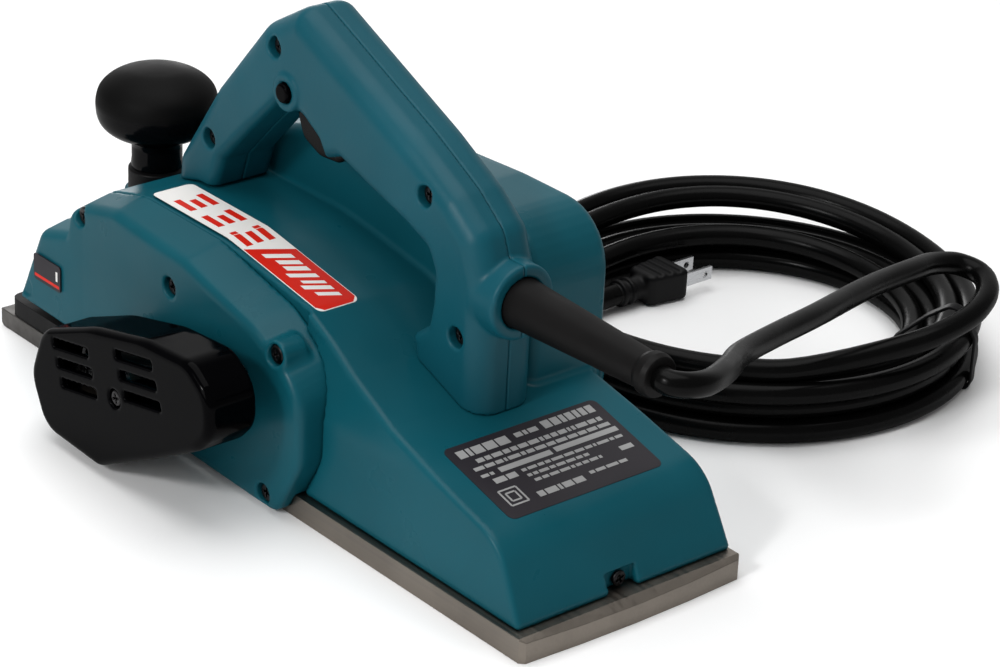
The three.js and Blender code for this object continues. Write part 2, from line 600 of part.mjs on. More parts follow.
function plugBody() {
  const { x, z, start } = PLUG;
  const boot = solid(lathe([[0, -28], [6, -28], [4.6, 0], [0, 0]], SMALL_STEPS).translate(x, start, z));
  const [face, back] = [start - 42, start - 20];
  const head = outline([[x - 11, face, 3], [x - 8, back, 4], [x + 8, back, 4], [x + 11, face, 3]]);
  return boot.add(alongZ(head, z - 7.4, z + 7.4, 2));
}
function plugBlade(side) {
  const { x, z, start } = PLUG;
  const mid = x + side * 6.35;
  const body = box([mid - 0.75, start - 42 - GAP - 17, z - 3.2], [mid + 0.75, start - 42 - GAP, z + 3.2]);
  const hole = new THREE.CylinderGeometry(1.6, 1.6, 6, 12).rotateZ(Math.PI / 2);
  return body.subtract(solid(hole.translate(mid, start - 55, z)));
}

// ---- Assembly ----
part("rear_base", rearBase(), ALUMINIUM);
part("front_base", frontBase(), DARK_BASE);
part("base_carrier", baseCarrier(), BLACK);
part("motor_housing", motorHousing(), TEAL);
part("side_housing", sideHousing(), TEAL);
part("belt_case", beltCase(), BLACK);
part("belt_cover", beltCover(), BLACK_GLOSS);
part("drive_belt", driveBelt(), RUBBER);
part("motor_pulley", pulley(MOTOR, BELT.motorR, MOTOR.shaft), STEEL);
part("drum_pulley", pulley(DRUM, BELT.drumR, DRUM.shaft), STEEL);
part("drum", drum(), ALUMINIUM);
BLADE_TURNS.forEach((turn, i) => {
  part(`blade_${i + 1}`, blade(turn), STEEL);
  part(`blade_clamp_${i + 1}`, bladeClamp(turn), BLACK_STEEL);
});
part("armature", armature(), STEEL);
part("stator", stator(), BLACK_STEEL);
part("commutator", commutator(), COPPER);
part("fan", fan(), BLACK);
part("motor_bearing_left", bearing(MOTOR, MOTOR.shaft, 11, 55, 62), STEEL);
part("motor_bearing_right", bearing(MOTOR, MOTOR.shaft, 9, -53.7, -47.7), STEEL);
part("drum_bearing_left", bearing(DRUM, DRUM.shaft, 13, 56.6, 64.6), STEEL);
part("drum_bearing_right", bearing(DRUM, DRUM.shaft, 13, -65, -57), STEEL);
part("brush_front", brush(1), BLACK_STEEL);
part("brush_rear", brush(-1), BLACK_STEEL);
part("end_cover", endCover(), TEAL);
part("chip_outlet", chipOutlet(), BLACK);
part("handle_left", handleHalf(1), TEAL);
part("handle_right", handleHalf(-1), TEAL);
part("trigger", trigger(), BLACK);
part("lock_button", lockButton(), BLACK_GLOSS);
part("switch_body", switchBody(), BLACK);
part("cord_clamp", cordClamp(), BLACK);
part("knob_head", knobHead(), BLACK_GLOSS);
part("knob_screw", knobScrew(), STEEL);
part("depth_scale", depthScale(), BLACK);
part("top_label", topLabel(), RED);
part("rating_plate", ratingPlate(), PLATE);
part("side_label", sideLabel(), BLACK_GLOSS);
part("cover_screw", screwY(COVER_SCREW), BLACK_STEEL);
part("rear_screw", rearScrew(), BLACK_STEEL);
SIDE_SCREWS.forEach((at, i) => part(`side_screw_${i + 1}`, screwY(at), BLACK_STEEL));
HANDLE_SCREWS.forEach((at, i) => part(`handle_screw_${i + 1}`, screwY(at), BLACK_STEEL));
END_SCREWS.forEach((at, i) => part(`end_screw_${i + 1}`, endScrew(at), BLACK_STEEL));
part("cord_guard", cordGuard(), RUBBER);
part("cord_lead", cordLead(), PVC);
part("cord_coil", cordCoil(), PVC);
part("cord_tie", cordTie(), BLACK);
part("plug_body", plugBody(), BLACK);
part("plug_blade_1", plugBlade(-1), STEEL);
part("plug_blade_2", plugBlade(1), STEEL);

export default planer;
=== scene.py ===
import math

import bmesh
import bpy
import numpy as np
from mathutils import Matrix, Vector


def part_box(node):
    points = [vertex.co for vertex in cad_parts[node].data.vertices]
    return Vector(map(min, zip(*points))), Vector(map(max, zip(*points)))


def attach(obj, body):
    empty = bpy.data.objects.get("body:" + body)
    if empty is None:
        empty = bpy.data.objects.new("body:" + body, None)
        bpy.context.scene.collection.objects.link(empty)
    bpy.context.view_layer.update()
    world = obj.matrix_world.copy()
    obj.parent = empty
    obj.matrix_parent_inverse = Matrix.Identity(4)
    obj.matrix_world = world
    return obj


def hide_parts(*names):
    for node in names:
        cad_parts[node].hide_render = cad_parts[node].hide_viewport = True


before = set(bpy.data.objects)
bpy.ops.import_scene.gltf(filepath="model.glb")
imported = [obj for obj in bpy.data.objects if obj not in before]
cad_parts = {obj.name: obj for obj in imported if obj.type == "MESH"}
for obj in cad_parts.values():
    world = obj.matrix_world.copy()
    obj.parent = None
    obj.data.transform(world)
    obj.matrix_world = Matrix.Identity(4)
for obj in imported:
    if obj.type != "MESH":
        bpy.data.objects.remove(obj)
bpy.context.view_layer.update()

MM = 0.001
FINE = 1.0

# ---- Driving dimensions, in millimetres ----
DRUM = (53, 25.7)
MOTOR = (-8, 47)
MOTOR_CAVITY = 30.5
HUMP = {"right": -59, "left": -18, "wall": 4}
END = {"at": (-30, 55), "r": 58, "recess": -57}
SEAM_Y = 42
RIGHT_Y = -59
SIDE_FALL = 0.22
GAP = 0.3
KNOB_X = 138.5
HANDLE_HALF = 15.5
GUARD_Z = 104.6
LOCK = (26, 150.8)
CORD_R = 5
SCREW = {"head": 3.9, "pocket": 4.4, "shank": 1.6, "bore": 2, "sunk": 2.3}
PARTING = 0.07

FRONT_FACE = [(165, 18.8, 1), (145, 60, 7), (124, 66.5, 2), (121.5, 77, 6), (110, 84.5, 5)]
DECK = [(85, 91.5, 20), (31, 91.5, 20), (-29, 82.5, 20), (-59, 69, 12), (-88, 58.3, 12), (-157, 40.7, 22)]
HOUSING = [*FRONT_FACE, *DECK, (-171.5, 10.3, 1), (28, 10.3), (28, 18.8)]
HOUSING_DEEP = [(172, 4.4), *FRONT_FACE[1:], *DECK, (-179.6, -6.7)]
SIDE_SHELL = [*FRONT_FACE, (85, 91.5, 20), (31, 91.5, 20), (-18, 81, 24), (-49.3, 64.5, 26),
              (-49.3, 29, 14), (-34, 1.5, 8), (62, 1.5), (80, 18.8)]
SIDE_PLAN = [(166, 30), (166, 56.5, 4), (110, 57.5), (30, 62.5), (-20, 64), (-51, 64, 6), (-51, 30)]
REAR_SECTION = [(-57.3, -8), (-56, 9), (-52.5, 50, 20), (-46, 75), (-44, 100), (42, 100), (44.5, 75),
                (52, 48, 30), (53, 9), (53.4, -8)]
FRONT_SECTION = [(RIGHT_Y, -8), (RIGHT_Y, 92.5, 7), (80, 92.5), (80, -8)]
HUMP_OUTLINE = [(-90, 25, 20), (-90, 122.5, 33), (-38, 122.5, 60), (64, 117, 40), (107, 101, 10),
                (111, 60, 10), (60, 25, 20)]
DUCT = [(68, 40), (72, 76, 5), (102, 76, 8), (104, 48, 8), (80, 30)]
DUCT_ROOF = [(69, 60), (70, 103, 5), (101, 92, 8), (103, 60)]
NOTCH = {"x": -166.2, "half": 7.5, "top": 18.2}
REAR_SCREW = (-168.4, 0, 14)
COVER_OUTLINE = [(84.5, 27, 14), (76, 49.5, 14), (40, 64.5, 60), (4, 73.5, 50), (-27, 76, 13),
                 (-41.5, 66.5, 14), (-42.5, 50, 14), (-33, 40, 20), (-3, 23.5, 50), (35, 4.2, 8),
                 (74, 5.6, 14)]
NECK_OUTLINE = [(80, 24, 12), (76, 44, 14), (40, 56, 20), (4, 63, 16), (-16, 58, 12), (-18.5, 40, 14),
                (-2, 20, 18), (28, 5, 8), (70, 5, 12)]
HANDLE_OUTER = [(106, 80), (104, 98), (78, 136), (46, 173, 16), (22, 187.3, 7), (-50, 155.6, 60),
                (-77, 141.4, 20), (-92, 130, 12), (-98.3, 114, 6), (-98.3, 30), (106, 30)]
HANDLE_INNER = [(-59, 20), (-59, 69, 1), (-57, 77, 2), (-66, 84, 3), (-68, 94, 3), (-68.5, 108, 6),
                (-64, 116, 6), (-50, 121.5, 12), (-24, 128.8), (-7.5, 134, 2), (1.5, 130.3, 1), (6, 137, 5),
                (17, 143.5, 8), (33, 144.5, 3), (54, 124), (71.5, 105.5), (76.5, 91), (76.5, 20)]
TRIGGER = [(20.5, 155), (15, 157, 2), (-3.5, 146), (-4.8, 143), (-4.8, 131, 2), (4, 125.5, 5),
           (16, 124.5, 8), (27, 129, 6), (31.5, 139, 3), (27, 143.2, 2), (20.5, 144.4)]
SIDE_SCREWS = [(40.9, 59.5, 71.5), (-31.5, 61.5, 70.4), (-26, 61, 7.3), (112.5, 55, 75.5)]
HANDLE_SCREWS = [(35, 12.4, 167), (79, 12.4, 113), (-62, 12.4, 137), (-84, 12.4, 86)]
COVER_SCREW = (22, 100.3, 40.5)
COVER_SLOTS = [(50.5, 42.5), (6, 55)]
PLATE_AREA = {"front": -106.5, "rear": -148.8, "right": -38, "left": 39}
STICKER = {"front": 85.5, "rear": -30, "right": 19.5, "left": 39.7}

LEAD = [(-182.4, 0, 104.6), (-186.5, 0, 104.4), (-190.5, -5, 103.6), (-190.5, -14.5, 101.6),
        (-184, -28, 98), (-173, -44, 92.5), (-157.5, -66, 86), (-144.5, -96, 80), (-131.5, -133, 74),
        (-109.6, -188.4, 64),
        (-99, -225, 58), (-93.5, -246, 54), (-95.5, -260, 51), (-105, -264, 49), (-117, -256, 47.5),
        (-126, -238, 45), (-127, -218, 42), (-123, -201, 39)]
COIL_CENTRE = (-20.5, -206)
COIL_TIE = 207
PLUG = {"x": 34, "z": 7.9, "start": -173}


# ---- Camera, its place in metres and its azimuth, elevation and roll in degrees ----
CAMERA = {"place": (-0.9543, 0.7545, 0.6332), "angles": (228.801, 25.494, 2.865), "lens": 118.8, "sensor": 36}


def make_camera():
    azimuth, elevation, roll = (math.radians(a) for a in CAMERA["angles"])
    back = Vector((math.sin(azimuth) * math.cos(elevation), -math.cos(azimuth) * math.cos(elevation),
                   math.sin(elevation)))
    right = Vector((0, 0, 1)).cross(back).normalized()
    up = back.cross(right)
    across = math.cos(roll) * right + math.sin(roll) * up
    upright = -math.sin(roll) * right + math.cos(roll) * up
    data = bpy.data.cameras.new("camera")
    data.lens = CAMERA["lens"]
    data.sensor_width = CAMERA["sensor"]
    camera = bpy.data.objects.new("camera", data)
    turn = Matrix((across, upright, back)).transposed().to_4x4()
    camera.matrix_world = Matrix.Translation(CAMERA["place"]) @ turn
    bpy.context.scene.collection.objects.link(camera)
    bpy.context.scene.camera = camera


make_camera()


# ---- Materials ----
def linear(red, green, blue):
    """An sRGB colour, 0 to 255, as linear light with its alpha."""
    levels = (c / 255 for c in (red, green, blue))
    return tuple(c / 12.92 if c < 0.04045 else ((c + 0.055) / 1.055) ** 2.4 for c in levels) + (1,)


def scaled(colour, by):
    return tuple(min(1, c * by) for c in colour[:3]) + (1,)


class Finish:
    """A material built from nodes, with object coordinates in metres."""

    def __init__(self, name, **inputs):
        self.material = bpy.data.materials.new(name)
        self.material.use_nodes = True
        self.tree = self.material.node_tree
        self.shader = self.tree.nodes["Principled BSDF"]
        for key, value in inputs.items():
            self.shader.inputs[key.replace("_", " ")].default_value = value
        self.place = self.add("TexCoord").outputs["Object"]

    def add(self, kind, **inputs):
        node = self.tree.nodes.new("ShaderNode" + kind)
        for key, value in inputs.items():
            socket = node.inputs[key.replace("_", " ")]
            if isinstance(value, bpy.types.NodeSocket):
                self.tree.links.new(value, socket)
            else:
                socket.default_value = value
        return node

    def stretched(self, scale):
        return self.add("Mapping", Vector=self.place, Scale=scale).outputs["Vector"]

    def noise(self, scale, detail=2.0, at=None):
        return self.add("TexNoise", Vector=at or self.place, Scale=scale, Detail=detail).outputs["Fac"]

    def span(self, value, low, high, start=0.3, end=0.7):
        node = self.add("MapRange", Value=value, From_Min=start, From_Max=end, To_Min=low, To_Max=high)
        return node.outputs["Result"]

    def blend(self, share, first, second):
        node = self.tree.nodes.new("ShaderNodeMix")
        node.data_type = "RGBA"
        self.tree.links.new(share, node.inputs["Factor"])
        for socket, value in zip((node.inputs[6], node.inputs[7]), (first, second)):
            if isinstance(value, bpy.types.NodeSocket):
                self.tree.links.new(value, socket)
            else:
                socket.default_value = value
        return node.outputs[2]

    def wire(self, output, key):
        self.tree.links.new(output, self.shader.inputs[key])

    def bump(self, height, strength, distance):
        node = self.add("Bump", Height=height, Strength=strength, Distance=distance)
        self.wire(node.outputs["Normal"], "Normal")
        return node.outputs["Normal"]

    def quieten(self, colour, share, normal=None):
        """Mixes the shader with a plain diffuse one, so that only part of the surface mirrors."""
        matt = self.add("BsdfDiffuse", Color=colour)
        mix = self.add("MixShader", Fac=share)
        self.tree.links.new(matt.outputs[0], mix.inputs[1])
        self.tree.links.new(self.shader.outputs[0], mix.inputs[2])
        if normal is not None:
            self.tree.links.new(normal, matt.inputs["Normal"])
        self.tree.links.new(mix.outputs[0], self.tree.nodes["Material Output"].inputs["Surface"])

    def painted_edge_highlight(self, colour, paler, reach=(0.52, 0.62)):
        # Painted highlight: convex edges, found by pointiness, are blended towards the paler colour.
        edge = self.add("NewGeometry").outputs["Pointiness"]
        return self.blend(self.span(edge, 0, 1, *reach), colour, paler)


def moulded(name, colour, rough=0.4, grain=700, depth=0.00006, edge_highlight_gain=1.25, shine=0.4, **inputs):
    """Injection-moulded plastic: faint flow tints, a fine spark-eroded grain and convex edges lightened as a
    painted highlight.
    """
    f = Finish(name, **inputs)
    tint = f.blend(f.span(f.noise(14, 3), 0, 1), scaled(colour, 0.9), scaled(colour, 1.1))
    highlit = f.painted_edge_highlight(tint, scaled(colour, edge_highlight_gain))
    f.wire(highlit, "Base Color")
    f.wire(f.span(f.noise(45, 4), rough - 0.06, rough + 0.08), "Roughness")
    f.quieten(highlit, shine, f.bump(f.noise(grain, 2), 0.35, depth))
    return f.material


def machined(name, colour, rough, along, depth=0.00004, tarnish=0.75):
    """Metal with tool marks along one axis and a little tarnish."""
    f = Finish(name, Metallic=1.0)
    marks = f.noise(1, 3, f.stretched(along))
    stain = f.blend(f.span(f.noise(22, 5), 0, 1, 0.42, 0.66), colour, scaled(colour, tarnish))
    # Convex edges are lightened as a painted highlight.
    f.wire(f.painted_edge_highlight(stain, scaled(colour, 1.4)), "Base Color")
    f.wire(f.span(marks, rough - 0.08, rough + 0.1), "Roughness")
    f.bump(marks, 0.5, depth)
    return f.material


# Each material's edge factor sets how much its painted edge highlight lightens the convex edges.
TEAL = moulded("teal_moulding", linear(12, 77, 89), 0.32, 520, 0.00004, shine=0.3)
TEAL_GRIP = moulded("teal_stipple", linear(12, 75, 88), 0.38, 420, 0.0002, edge_highlight_gain=1.2, shine=0.35)
BLACK = moulded("black_moulding", linear(10, 10, 11), 0.44, 600, 0.00012, shine=0.3)
GLOSS = moulded("black_gloss", linear(2, 2, 3), 0.09, 300, 0.00001, edge_highlight_gain=1.6, shine=0.3,
                Specular_IOR_Level=0.1)
TRIGGER_BLACK = moulded("trigger_black", linear(6, 6, 6), 0.25, 500, 0.00003, edge_highlight_gain=1.4, shine=0.2)
RUBBER = moulded("rubber", linear(13, 12, 12), 0.5, 900, 0.0001, shine=0.25)
PVC = moulded("cord_pvc", linear(6, 6, 6), 0.26, 260, 0.00008, shine=0.3, Specular_IOR_Level=0.25)
ALUMINIUM = machined("machined_sole", linear(122, 115, 107), 0.36, (9, 900, 900))
CASTING = machined("dark_casting", linear(88, 86, 84), 0.5, (260, 260, 260), 0.0001)
STEEL = machined("ground_steel", linear(165, 166, 168), 0.26, (700, 30, 700))
DARK_STEEL = machined("blackened_steel", linear(46, 45, 46), 0.34, (400, 400, 400), 0.00002)
COPPER = machined("copper", linear(186, 112, 62), 0.32, (500, 500, 20))
LABEL_WHITE = moulded("label_white", linear(226, 224, 221), 0.34, 1500, 0.00001, edge_highlight_gain=1.0)
LABEL_RED = moulded("label_red", linear(200, 30, 14), 0.34, 1500, 0.00001, edge_highlight_gain=1.0)
PLATE = moulded("plate_charcoal", linear(38, 35, 40), 0.4, 1500, 0.00001, edge_highlight_gain=1.0)
PLATE_INK = moulded("plate_ink", linear(150, 150, 150), 0.4, 1500, 0.00001, edge_highlight_gain=1.0)


def knob_finish():
    """Gloss below, a soft matt top above."""
    f = Finish("knob_black", Specular_IOR_Level=0.25)
    height = f.add("SeparateXYZ", Vector=f.place).outputs["Z"]
    matt = f.span(height, 0, 1, 0.1045, 0.1075)
    black = f.blend(matt, linear(5, 5, 6), linear(7, 7, 7))
    f.wire(black, "Base Color")
    cloud = f.span(f.noise(60, 3), -0.04, 0.05)
    base = f.span(matt, 0.14, 0.52, 0, 1)
    total = f.tree.nodes.new("ShaderNodeMath")
    total.operation = "ADD"
    f.tree.links.new(base, total.inputs[0])
    f.tree.links.new(cloud, total.inputs[1])
    f.wire(total.outputs[0], "Roughness")
    f.quieten(black, 0.3, f.bump(f.noise(700, 2), 0.3, 0.00004))
    return f.material


KNOB_FINISH = knob_finish()


# ---- Curves and outlines ----
def smooth_path(points, per_span):
    """Centripetal Catmull-Rom through the points."""
    p = np.array(points, float)
    p = np.vstack([2 * p[0] - p[1], p, 2 * p[-1] - p[-2]])
    out = []
    for i in range(1, len(p) - 2):
        knots = [0.0]
        for a, b in zip(p[i - 1:i + 2], p[i:i + 3]):
            knots.append(knots[-1] + max(1e-6, np.linalg.norm(b - a)) ** 0.5)
        k0, k1, k2, k3 = knots
        for t in np.linspace(k1, k2, per_span, endpoint=False):
            a1 = p[i - 1] * (k1 - t) / (k1 - k0) + p[i] * (t - k0) / (k1 - k0)
            a2 = p[i] * (k2 - t) / (k2 - k1) + p[i + 1] * (t - k1) / (k2 - k1)
            a3 = p[i + 1] * (k3 - t) / (k3 - k2) + p[i + 2] * (t - k2) / (k3 - k2)
            b1 = a1 * (k2 - t) / (k2 - k0) + a2 * (t - k0) / (k2 - k0)
            b2 = a2 * (k3 - t) / (k3 - k1) + a3 * (t - k1) / (k3 - k1)
            out.append(b1 * (k2 - t) / (k2 - k1) + b2 * (t - k1) / (k2 - k1))
    out.append(p[-2])
    return np.array(out)


def rounded(points, steps=9):
    """An outline's corners (u, v, radius) as a closed polyline with true arcs."""
    out = []
    for i, (u, v, *rest) in enumerate(points):
        corner = np.array((u, v), float)
        if not rest or not rest[0]:
            out.append(corner)
            continue
        a = np.array(points[i - 1][:2], float) - corner
        b = np.array(points[(i + 1) % len(points)][:2], float) - corner
        la, lb = np.linalg.norm(a), np.linalg.norm(b)
        a, b = a / la, b / lb
        half = math.acos(np.clip(a @ b, -1, 1)) / 2
        reach = min(rest[0] / math.tan(half), 0.49 * la, 0.49 * lb)
        r = reach * math.tan(half)
        centre = corner + (a + b) / np.linalg.norm(a + b) * r / math.sin(half)
        start, end = corner + a * reach - centre, corner + b * reach - centre
        sweep = math.copysign(math.pi - 2 * half, start[0] * end[1] - start[1] * end[0])
        for k in range(steps + 1):
            c, s = math.cos(sweep * k / steps), math.sin(sweep * k / steps)
            out.append(centre + (c * start[0] - s * start[1], s * start[0] + c * start[1]))
    return np.array(out)


# ---- Distance fields ----
def polygon(points):
    corners = rounded(points)

    def distance(u, v):
        nearest, inside = None, None
        for (u0, v0), (u1, v1) in zip(corners, np.roll(corners, -1, axis=0)):
            du, dv = u1 - u0, v1 - v0
            if du == 0 and dv == 0:
                continue
            wu, wv = u - u0, v - v0
            t = np.clip((wu * du + wv * dv) / (du * du + dv * dv), 0, 1)
            d = (wu - du * t) ** 2 + (wv - dv * t) ** 2
            crossing = ((v0 <= v) != (v1 <= v)) & ((wu * dv - wv * du > 0) == (dv < 0))
            nearest = d if nearest is None else np.minimum(nearest, d)
            inside = crossing if inside is None else inside ^ crossing
        return np.where(inside, -1, 1) * np.sqrt(nearest)

    return distance


def along_y(points):
    shape = polygon(points)
    return lambda x, y, z: shape(x, z) + 0 * y


def along_x(points):
    shape = polygon(points)
    return lambda x, y, z: shape(y, z) + 0 * x


def along_z(points):
    shape = polygon(points)
    return lambda x, y, z: shape(x, y) + 0 * z


def slab(axis, low, high):
    def distance(*p):
        return np.maximum(low - p[axis], p[axis] - high) + 0 * (p[0] + p[1] + p[2])
    return distance


def tube(axis, at, r):
    """An endless cylinder along an axis through the two other coordinates in at."""
    def distance(*p):
        u, v = (q for i, q in enumerate(p) if i != axis)
        return np.sqrt((u - at[0]) ** 2 + (v - at[1]) ** 2) - r + 0 * p[axis]
    return distance


def join(r, *fields):
    def distance(x, y, z):
        total = fields[0](x, y, z)
        for field in fields[1:]:
            other = field(x, y, z)
            near = np.minimum(total, other)
            if r:
                a, b = np.maximum(r - total, 0), np.maximum(r - other, 0)
                near = np.maximum(r, near) - np.sqrt(a * a + b * b)
            total = near
        return total
    return distance


def negative(field):
    return lambda x, y, z: -field(x, y, z)


def meet(r, *fields):
    return negative(join(r, *(negative(f) for f in fields)))


def cut(r, field, *tools):
    return meet(r, field, *(negative(t) for t in tools))


def rod(axis, at, r, low, high, edge=0.0):
    return meet(edge, tube(axis, at, r), slab(axis, low, high))


def block(low, high, edge=0.0):
    return meet(edge, *(slab(i, low[i], high[i]) for i in range(3)))


def tilted(field, centre, angle):
    """The field turned about an axis along Y through centre (x, z)."""
    c, s = math.cos(angle), math.sin(angle)

    def distance(x, y, z):
        u, w = x - centre[0], z - centre[1]
        return field(centre[0] + c * u - s * w, y, centre[1] + s * u + c * w)
    return distance


# ---- Meshing a field ----
CORNERS = [(i, j, k) for i in (0, 1) for j in (0, 1) for k in (0, 1)]
EDGES = [(a, b) for a in CORNERS for b in CORNERS if a < b and sum(abs(p - q) for p, q in zip(a, b)) == 1]


def surface_net(values, start, step):
    inside = values < 0
    n = [s - 1 for s in values.shape]
    count = np.zeros(n, np.int8)
    for i, j, k in CORNERS:
        count += inside[i:i + n[0], j:j + n[1], k:k + n[2]]
    cells = np.nonzero((count > 0) & (count < 8))
    number = np.full(n, -1, np.int64)
    number[cells] = np.arange(len(cells[0]))
    total, hits = np.zeros((len(cells[0]), 3)), np.zeros(len(cells[0]))
    for a, b in EDGES:
        va = values[cells[0] + a[0], cells[1] + a[1], cells[2] + a[2]].astype(float)
        vb = values[cells[0] + b[0], cells[1] + b[1], cells[2] + b[2]].astype(float)
        crossed = (va < 0) != (vb < 0)
        t = np.where(crossed, va / np.where(crossed, va - vb, 1), 0)
        point = np.array(a) + t[:, None] * (np.array(b) - np.array(a))
        total += np.where(crossed[:, None], point, 0)
        hits += crossed
    points = (np.stack(cells, 1) + total / hits[:, None]) * step + start
    quads = []
    for axis in range(3):
        u, v = (axis + 1) % 3, (axis + 2) % 3
        low, high = [slice(1, m) for m in n], [slice(1, m) for m in n]
        low[axis], high[axis] = slice(0, n[axis]), slice(1, n[axis] + 1)
        first, second = inside[tuple(low)], inside[tuple(high)]
        at = np.nonzero(first != second)
        leaves = first[at]
        base = [c + 1 for c in at]
        base[axis] = at[axis]
        ring = []
        for du, dv in ((1, 1), (0, 1), (0, 0), (1, 0)):
            place = list(base)
            place[u], place[v] = base[u] - du, base[v] - dv
            ring.append(number[tuple(place)])
        quad = np.stack(ring, 1)
        quads.append(np.where(leaves[:, None], quad, quad[:, ::-1]))
    return points, np.vstack(quads)


def slope(field, p, here):
    h = 0.02
    columns = []
    for axis in range(3):
        q = p.copy()
        q[:, axis] += h
        columns.append((field(q[:, 0], q[:, 1], q[:, 2]) - here) / h)
    return np.stack(columns, 1)


def settle(field, p, step, rounds):
    for _ in range(rounds):
        here = field(p[:, 0], p[:, 1], p[:, 2])
        g = slope(field, p, here)
        move = np.clip(here / np.maximum((g * g).sum(1), 0.2), -0.6 * step, 0.6 * step)
        p = p - g * move[:, None]
    return p


def relax(p, quads, share):
    a, b = quads.ravel(), np.roll(quads, -1, axis=1).ravel()
    here, there = np.concatenate([a, b]), np.concatenate([b, a])
    count = np.bincount(here, minlength=len(p))
    total = np.stack([np.bincount(here, p[there, i], len(p)) for i in range(3)], 1)
    return p + share * (total / np.maximum(count, 1)[:, None] - p)


def mesh_object(name, points, faces, material, smooth=True):
    mesh = bpy.data.meshes.new(name)
    sides = faces.shape[1]
    mesh.vertices.add(len(points))
    mesh.vertices.foreach_set("co", (np.asarray(points) * MM).astype(np.float32).ravel())
    mesh.loops.add(faces.size)
    mesh.loops.foreach_set("vertex_index", faces.astype(np.int32).ravel())
    mesh.polygons.add(len(faces))
    mesh.polygons.foreach_set("loop_start", np.arange(0, faces.size, sides, dtype=np.int32))
    mesh.polygons.foreach_set("use_smooth", np.full(len(faces), smooth))
    mesh.update(calc_edges=True)
    mesh.validate()
    mesh.materials.append(material)
    piece = bpy.data.objects.new(name, mesh)
    bpy.context.scene.collection.objects.link(piece)
    return piece


def field_mesh(name, field, low, high, step, material):
    step = step * FINE
    start = np.array(low, float) - 1.37 * step
    counts = [int(math.ceil((h - s) / step)) + 3 for s, h in zip(start, high)]
    axes = [(s + step * np.arange(n)).astype(np.float32) for s, n in zip(start, counts)]
    grid = np.meshgrid(*axes, indexing="ij", sparse=True)
    values = np.broadcast_to(field(*grid), counts)
    points, quads = surface_net(values, start, step)
    points = settle(field, points, step, 2)
    points = relax(points, quads, 0.5)
    points = settle(field, points, step, 2)
    return mesh_object(name, points, quads, material)


def node_box(*nodes, margin=1.0):
    lows, highs = zip(*(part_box(n) for n in nodes))
    low = [min(v[i] for v in lows) / MM - margin for i in range(3)]
    high = [max(v[i] for v in highs) / MM + margin for i in range(3)]
    return low, high


def moulding(node, field, step, material, body="planer"):
    piece = field_mesh(node + "_moulding", field, *node_box(node), step, material)
    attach(piece, body)
    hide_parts(node)
    return piece


# ---- Lathed pieces ----
def lathe(name, profile, at, axis, material, steps=64):
    """A closed profile of (radius, height) turned about an axis through the point at."""
    profile = np.array(profile, float)
    turns = np.linspace(0, 2 * math.pi, steps, endpoint=False)
    ring = np.zeros((len(profile), steps, 3))
    u, v = (axis + 1) % 3, (axis + 2) % 3
    ring[:, :, axis] = profile[:, 1][:, None]
    ring[:, :, u] = profile[:, 0][:, None] * np.cos(turns)
    ring[:, :, v] = profile[:, 0][:, None] * np.sin(turns)
    points = ring.reshape(-1, 3) + np.array(at, float)
    quads = []
    for i in range(len(profile) - 1):
        j = np.arange(steps)
        k = (j + 1) % steps
        quads.append(np.stack([i * steps + j, i * steps + k, (i + 1) * steps + k, (i + 1) * steps + j], 1))
    piece = mesh_object(name, points, np.vstack(quads), material)
    tidy(piece)
    return piece


def tidy(piece, sharp=35):
    """Merges doubled points, turns the faces outwards and marks the sharp edges."""
    mesh = piece.data
    bm = bmesh.new()
    bm.from_mesh(mesh)
    bmesh.ops.remove_doubles(bm, verts=bm.verts, dist=2e-6)
    bmesh.ops.dissolve_degenerate(bm, edges=bm.edges, dist=1e-7)
    bmesh.ops.recalc_face_normals(bm, faces=bm.faces)
    for edge in bm.edges:
        edge.smooth = edge.is_manifold and edge.calc_face_angle(0) < math.radians(sharp)
    bm.to_mesh(mesh)
    bm.free()


# ---- Mains lead ----
# The slots (radius, height) that the cord fills in turn, and how far each rises on the far side.
COIL_SLOTS = [(96, 31.3), (101.4, 22.6), (90.6, 22.6), (74.7, 13.9), (85.2, 13.9), (96, 13.9),
              (101.5, 5.3), (90.5, 5.3), (77, 5.3)]
COIL_LIFT = [0, 9, 8, 4, 0, 0, 0, 0, 0]
COIL_TURNS = 8.3
TURN_STEPS = 24
BUNDLE_R = 86
FAR_SIDE = -38


def slot_radius(r, angle):
    """The bundle is drawn together at the tie and opens on the far side."""
    opened = 0.5 - 0.5 * math.cos(angle - math.radians(COIL_TIE))
    return BUNDLE_R + (r - BUNDLE_R) * (0.93 + 0.07 * opened)


def coil_route():
    """Turns that run clockwise and step from slot to slot of the bundle, a little loose."""
    start = math.atan2(LEAD[-1][1] - COIL_CENTRE[1], LEAD[-1][0] - COIL_CENTRE[0])
    last = len(COIL_SLOTS) - 1
    points = []
    for k in range(2, int(COIL_TURNS * TURN_STEPS) + 1):
        turn = k / TURN_STEPS
        i = min(int(turn + 0.5), last)
        after = min(i + 1, last)
        part = min(1.0, max(0.0, (turn + 0.5 - i - 0.7) / 0.3)) if i < last else 0.0
        share = part * part * (3 - 2 * part)
        r = COIL_SLOTS[i][0] + share * (COIL_SLOTS[after][0] - COIL_SLOTS[i][0])
        z = COIL_SLOTS[i][1] + share * (COIL_SLOTS[after][1] - COIL_SLOTS[i][1])
        a = start - 2 * math.pi * turn
        lift = COIL_LIFT[i] + share * (COIL_LIFT[after] - COIL_LIFT[i])
        z += lift * max(0.0, math.cos(a - math.radians(FAR_SIDE))) ** 2
        loose = 0.5 - 0.5 * math.cos(a - math.radians(COIL_TIE))
        r = slot_radius(r, a) + loose * (0.9 * math.sin(3 * a + 0.7) + 0.45 * math.sin(5 * a + 2.1 * i))
        points.append((COIL_CENTRE[0] + r * math.cos(a), COIL_CENTRE[1] + r * math.sin(a), z))
    return points


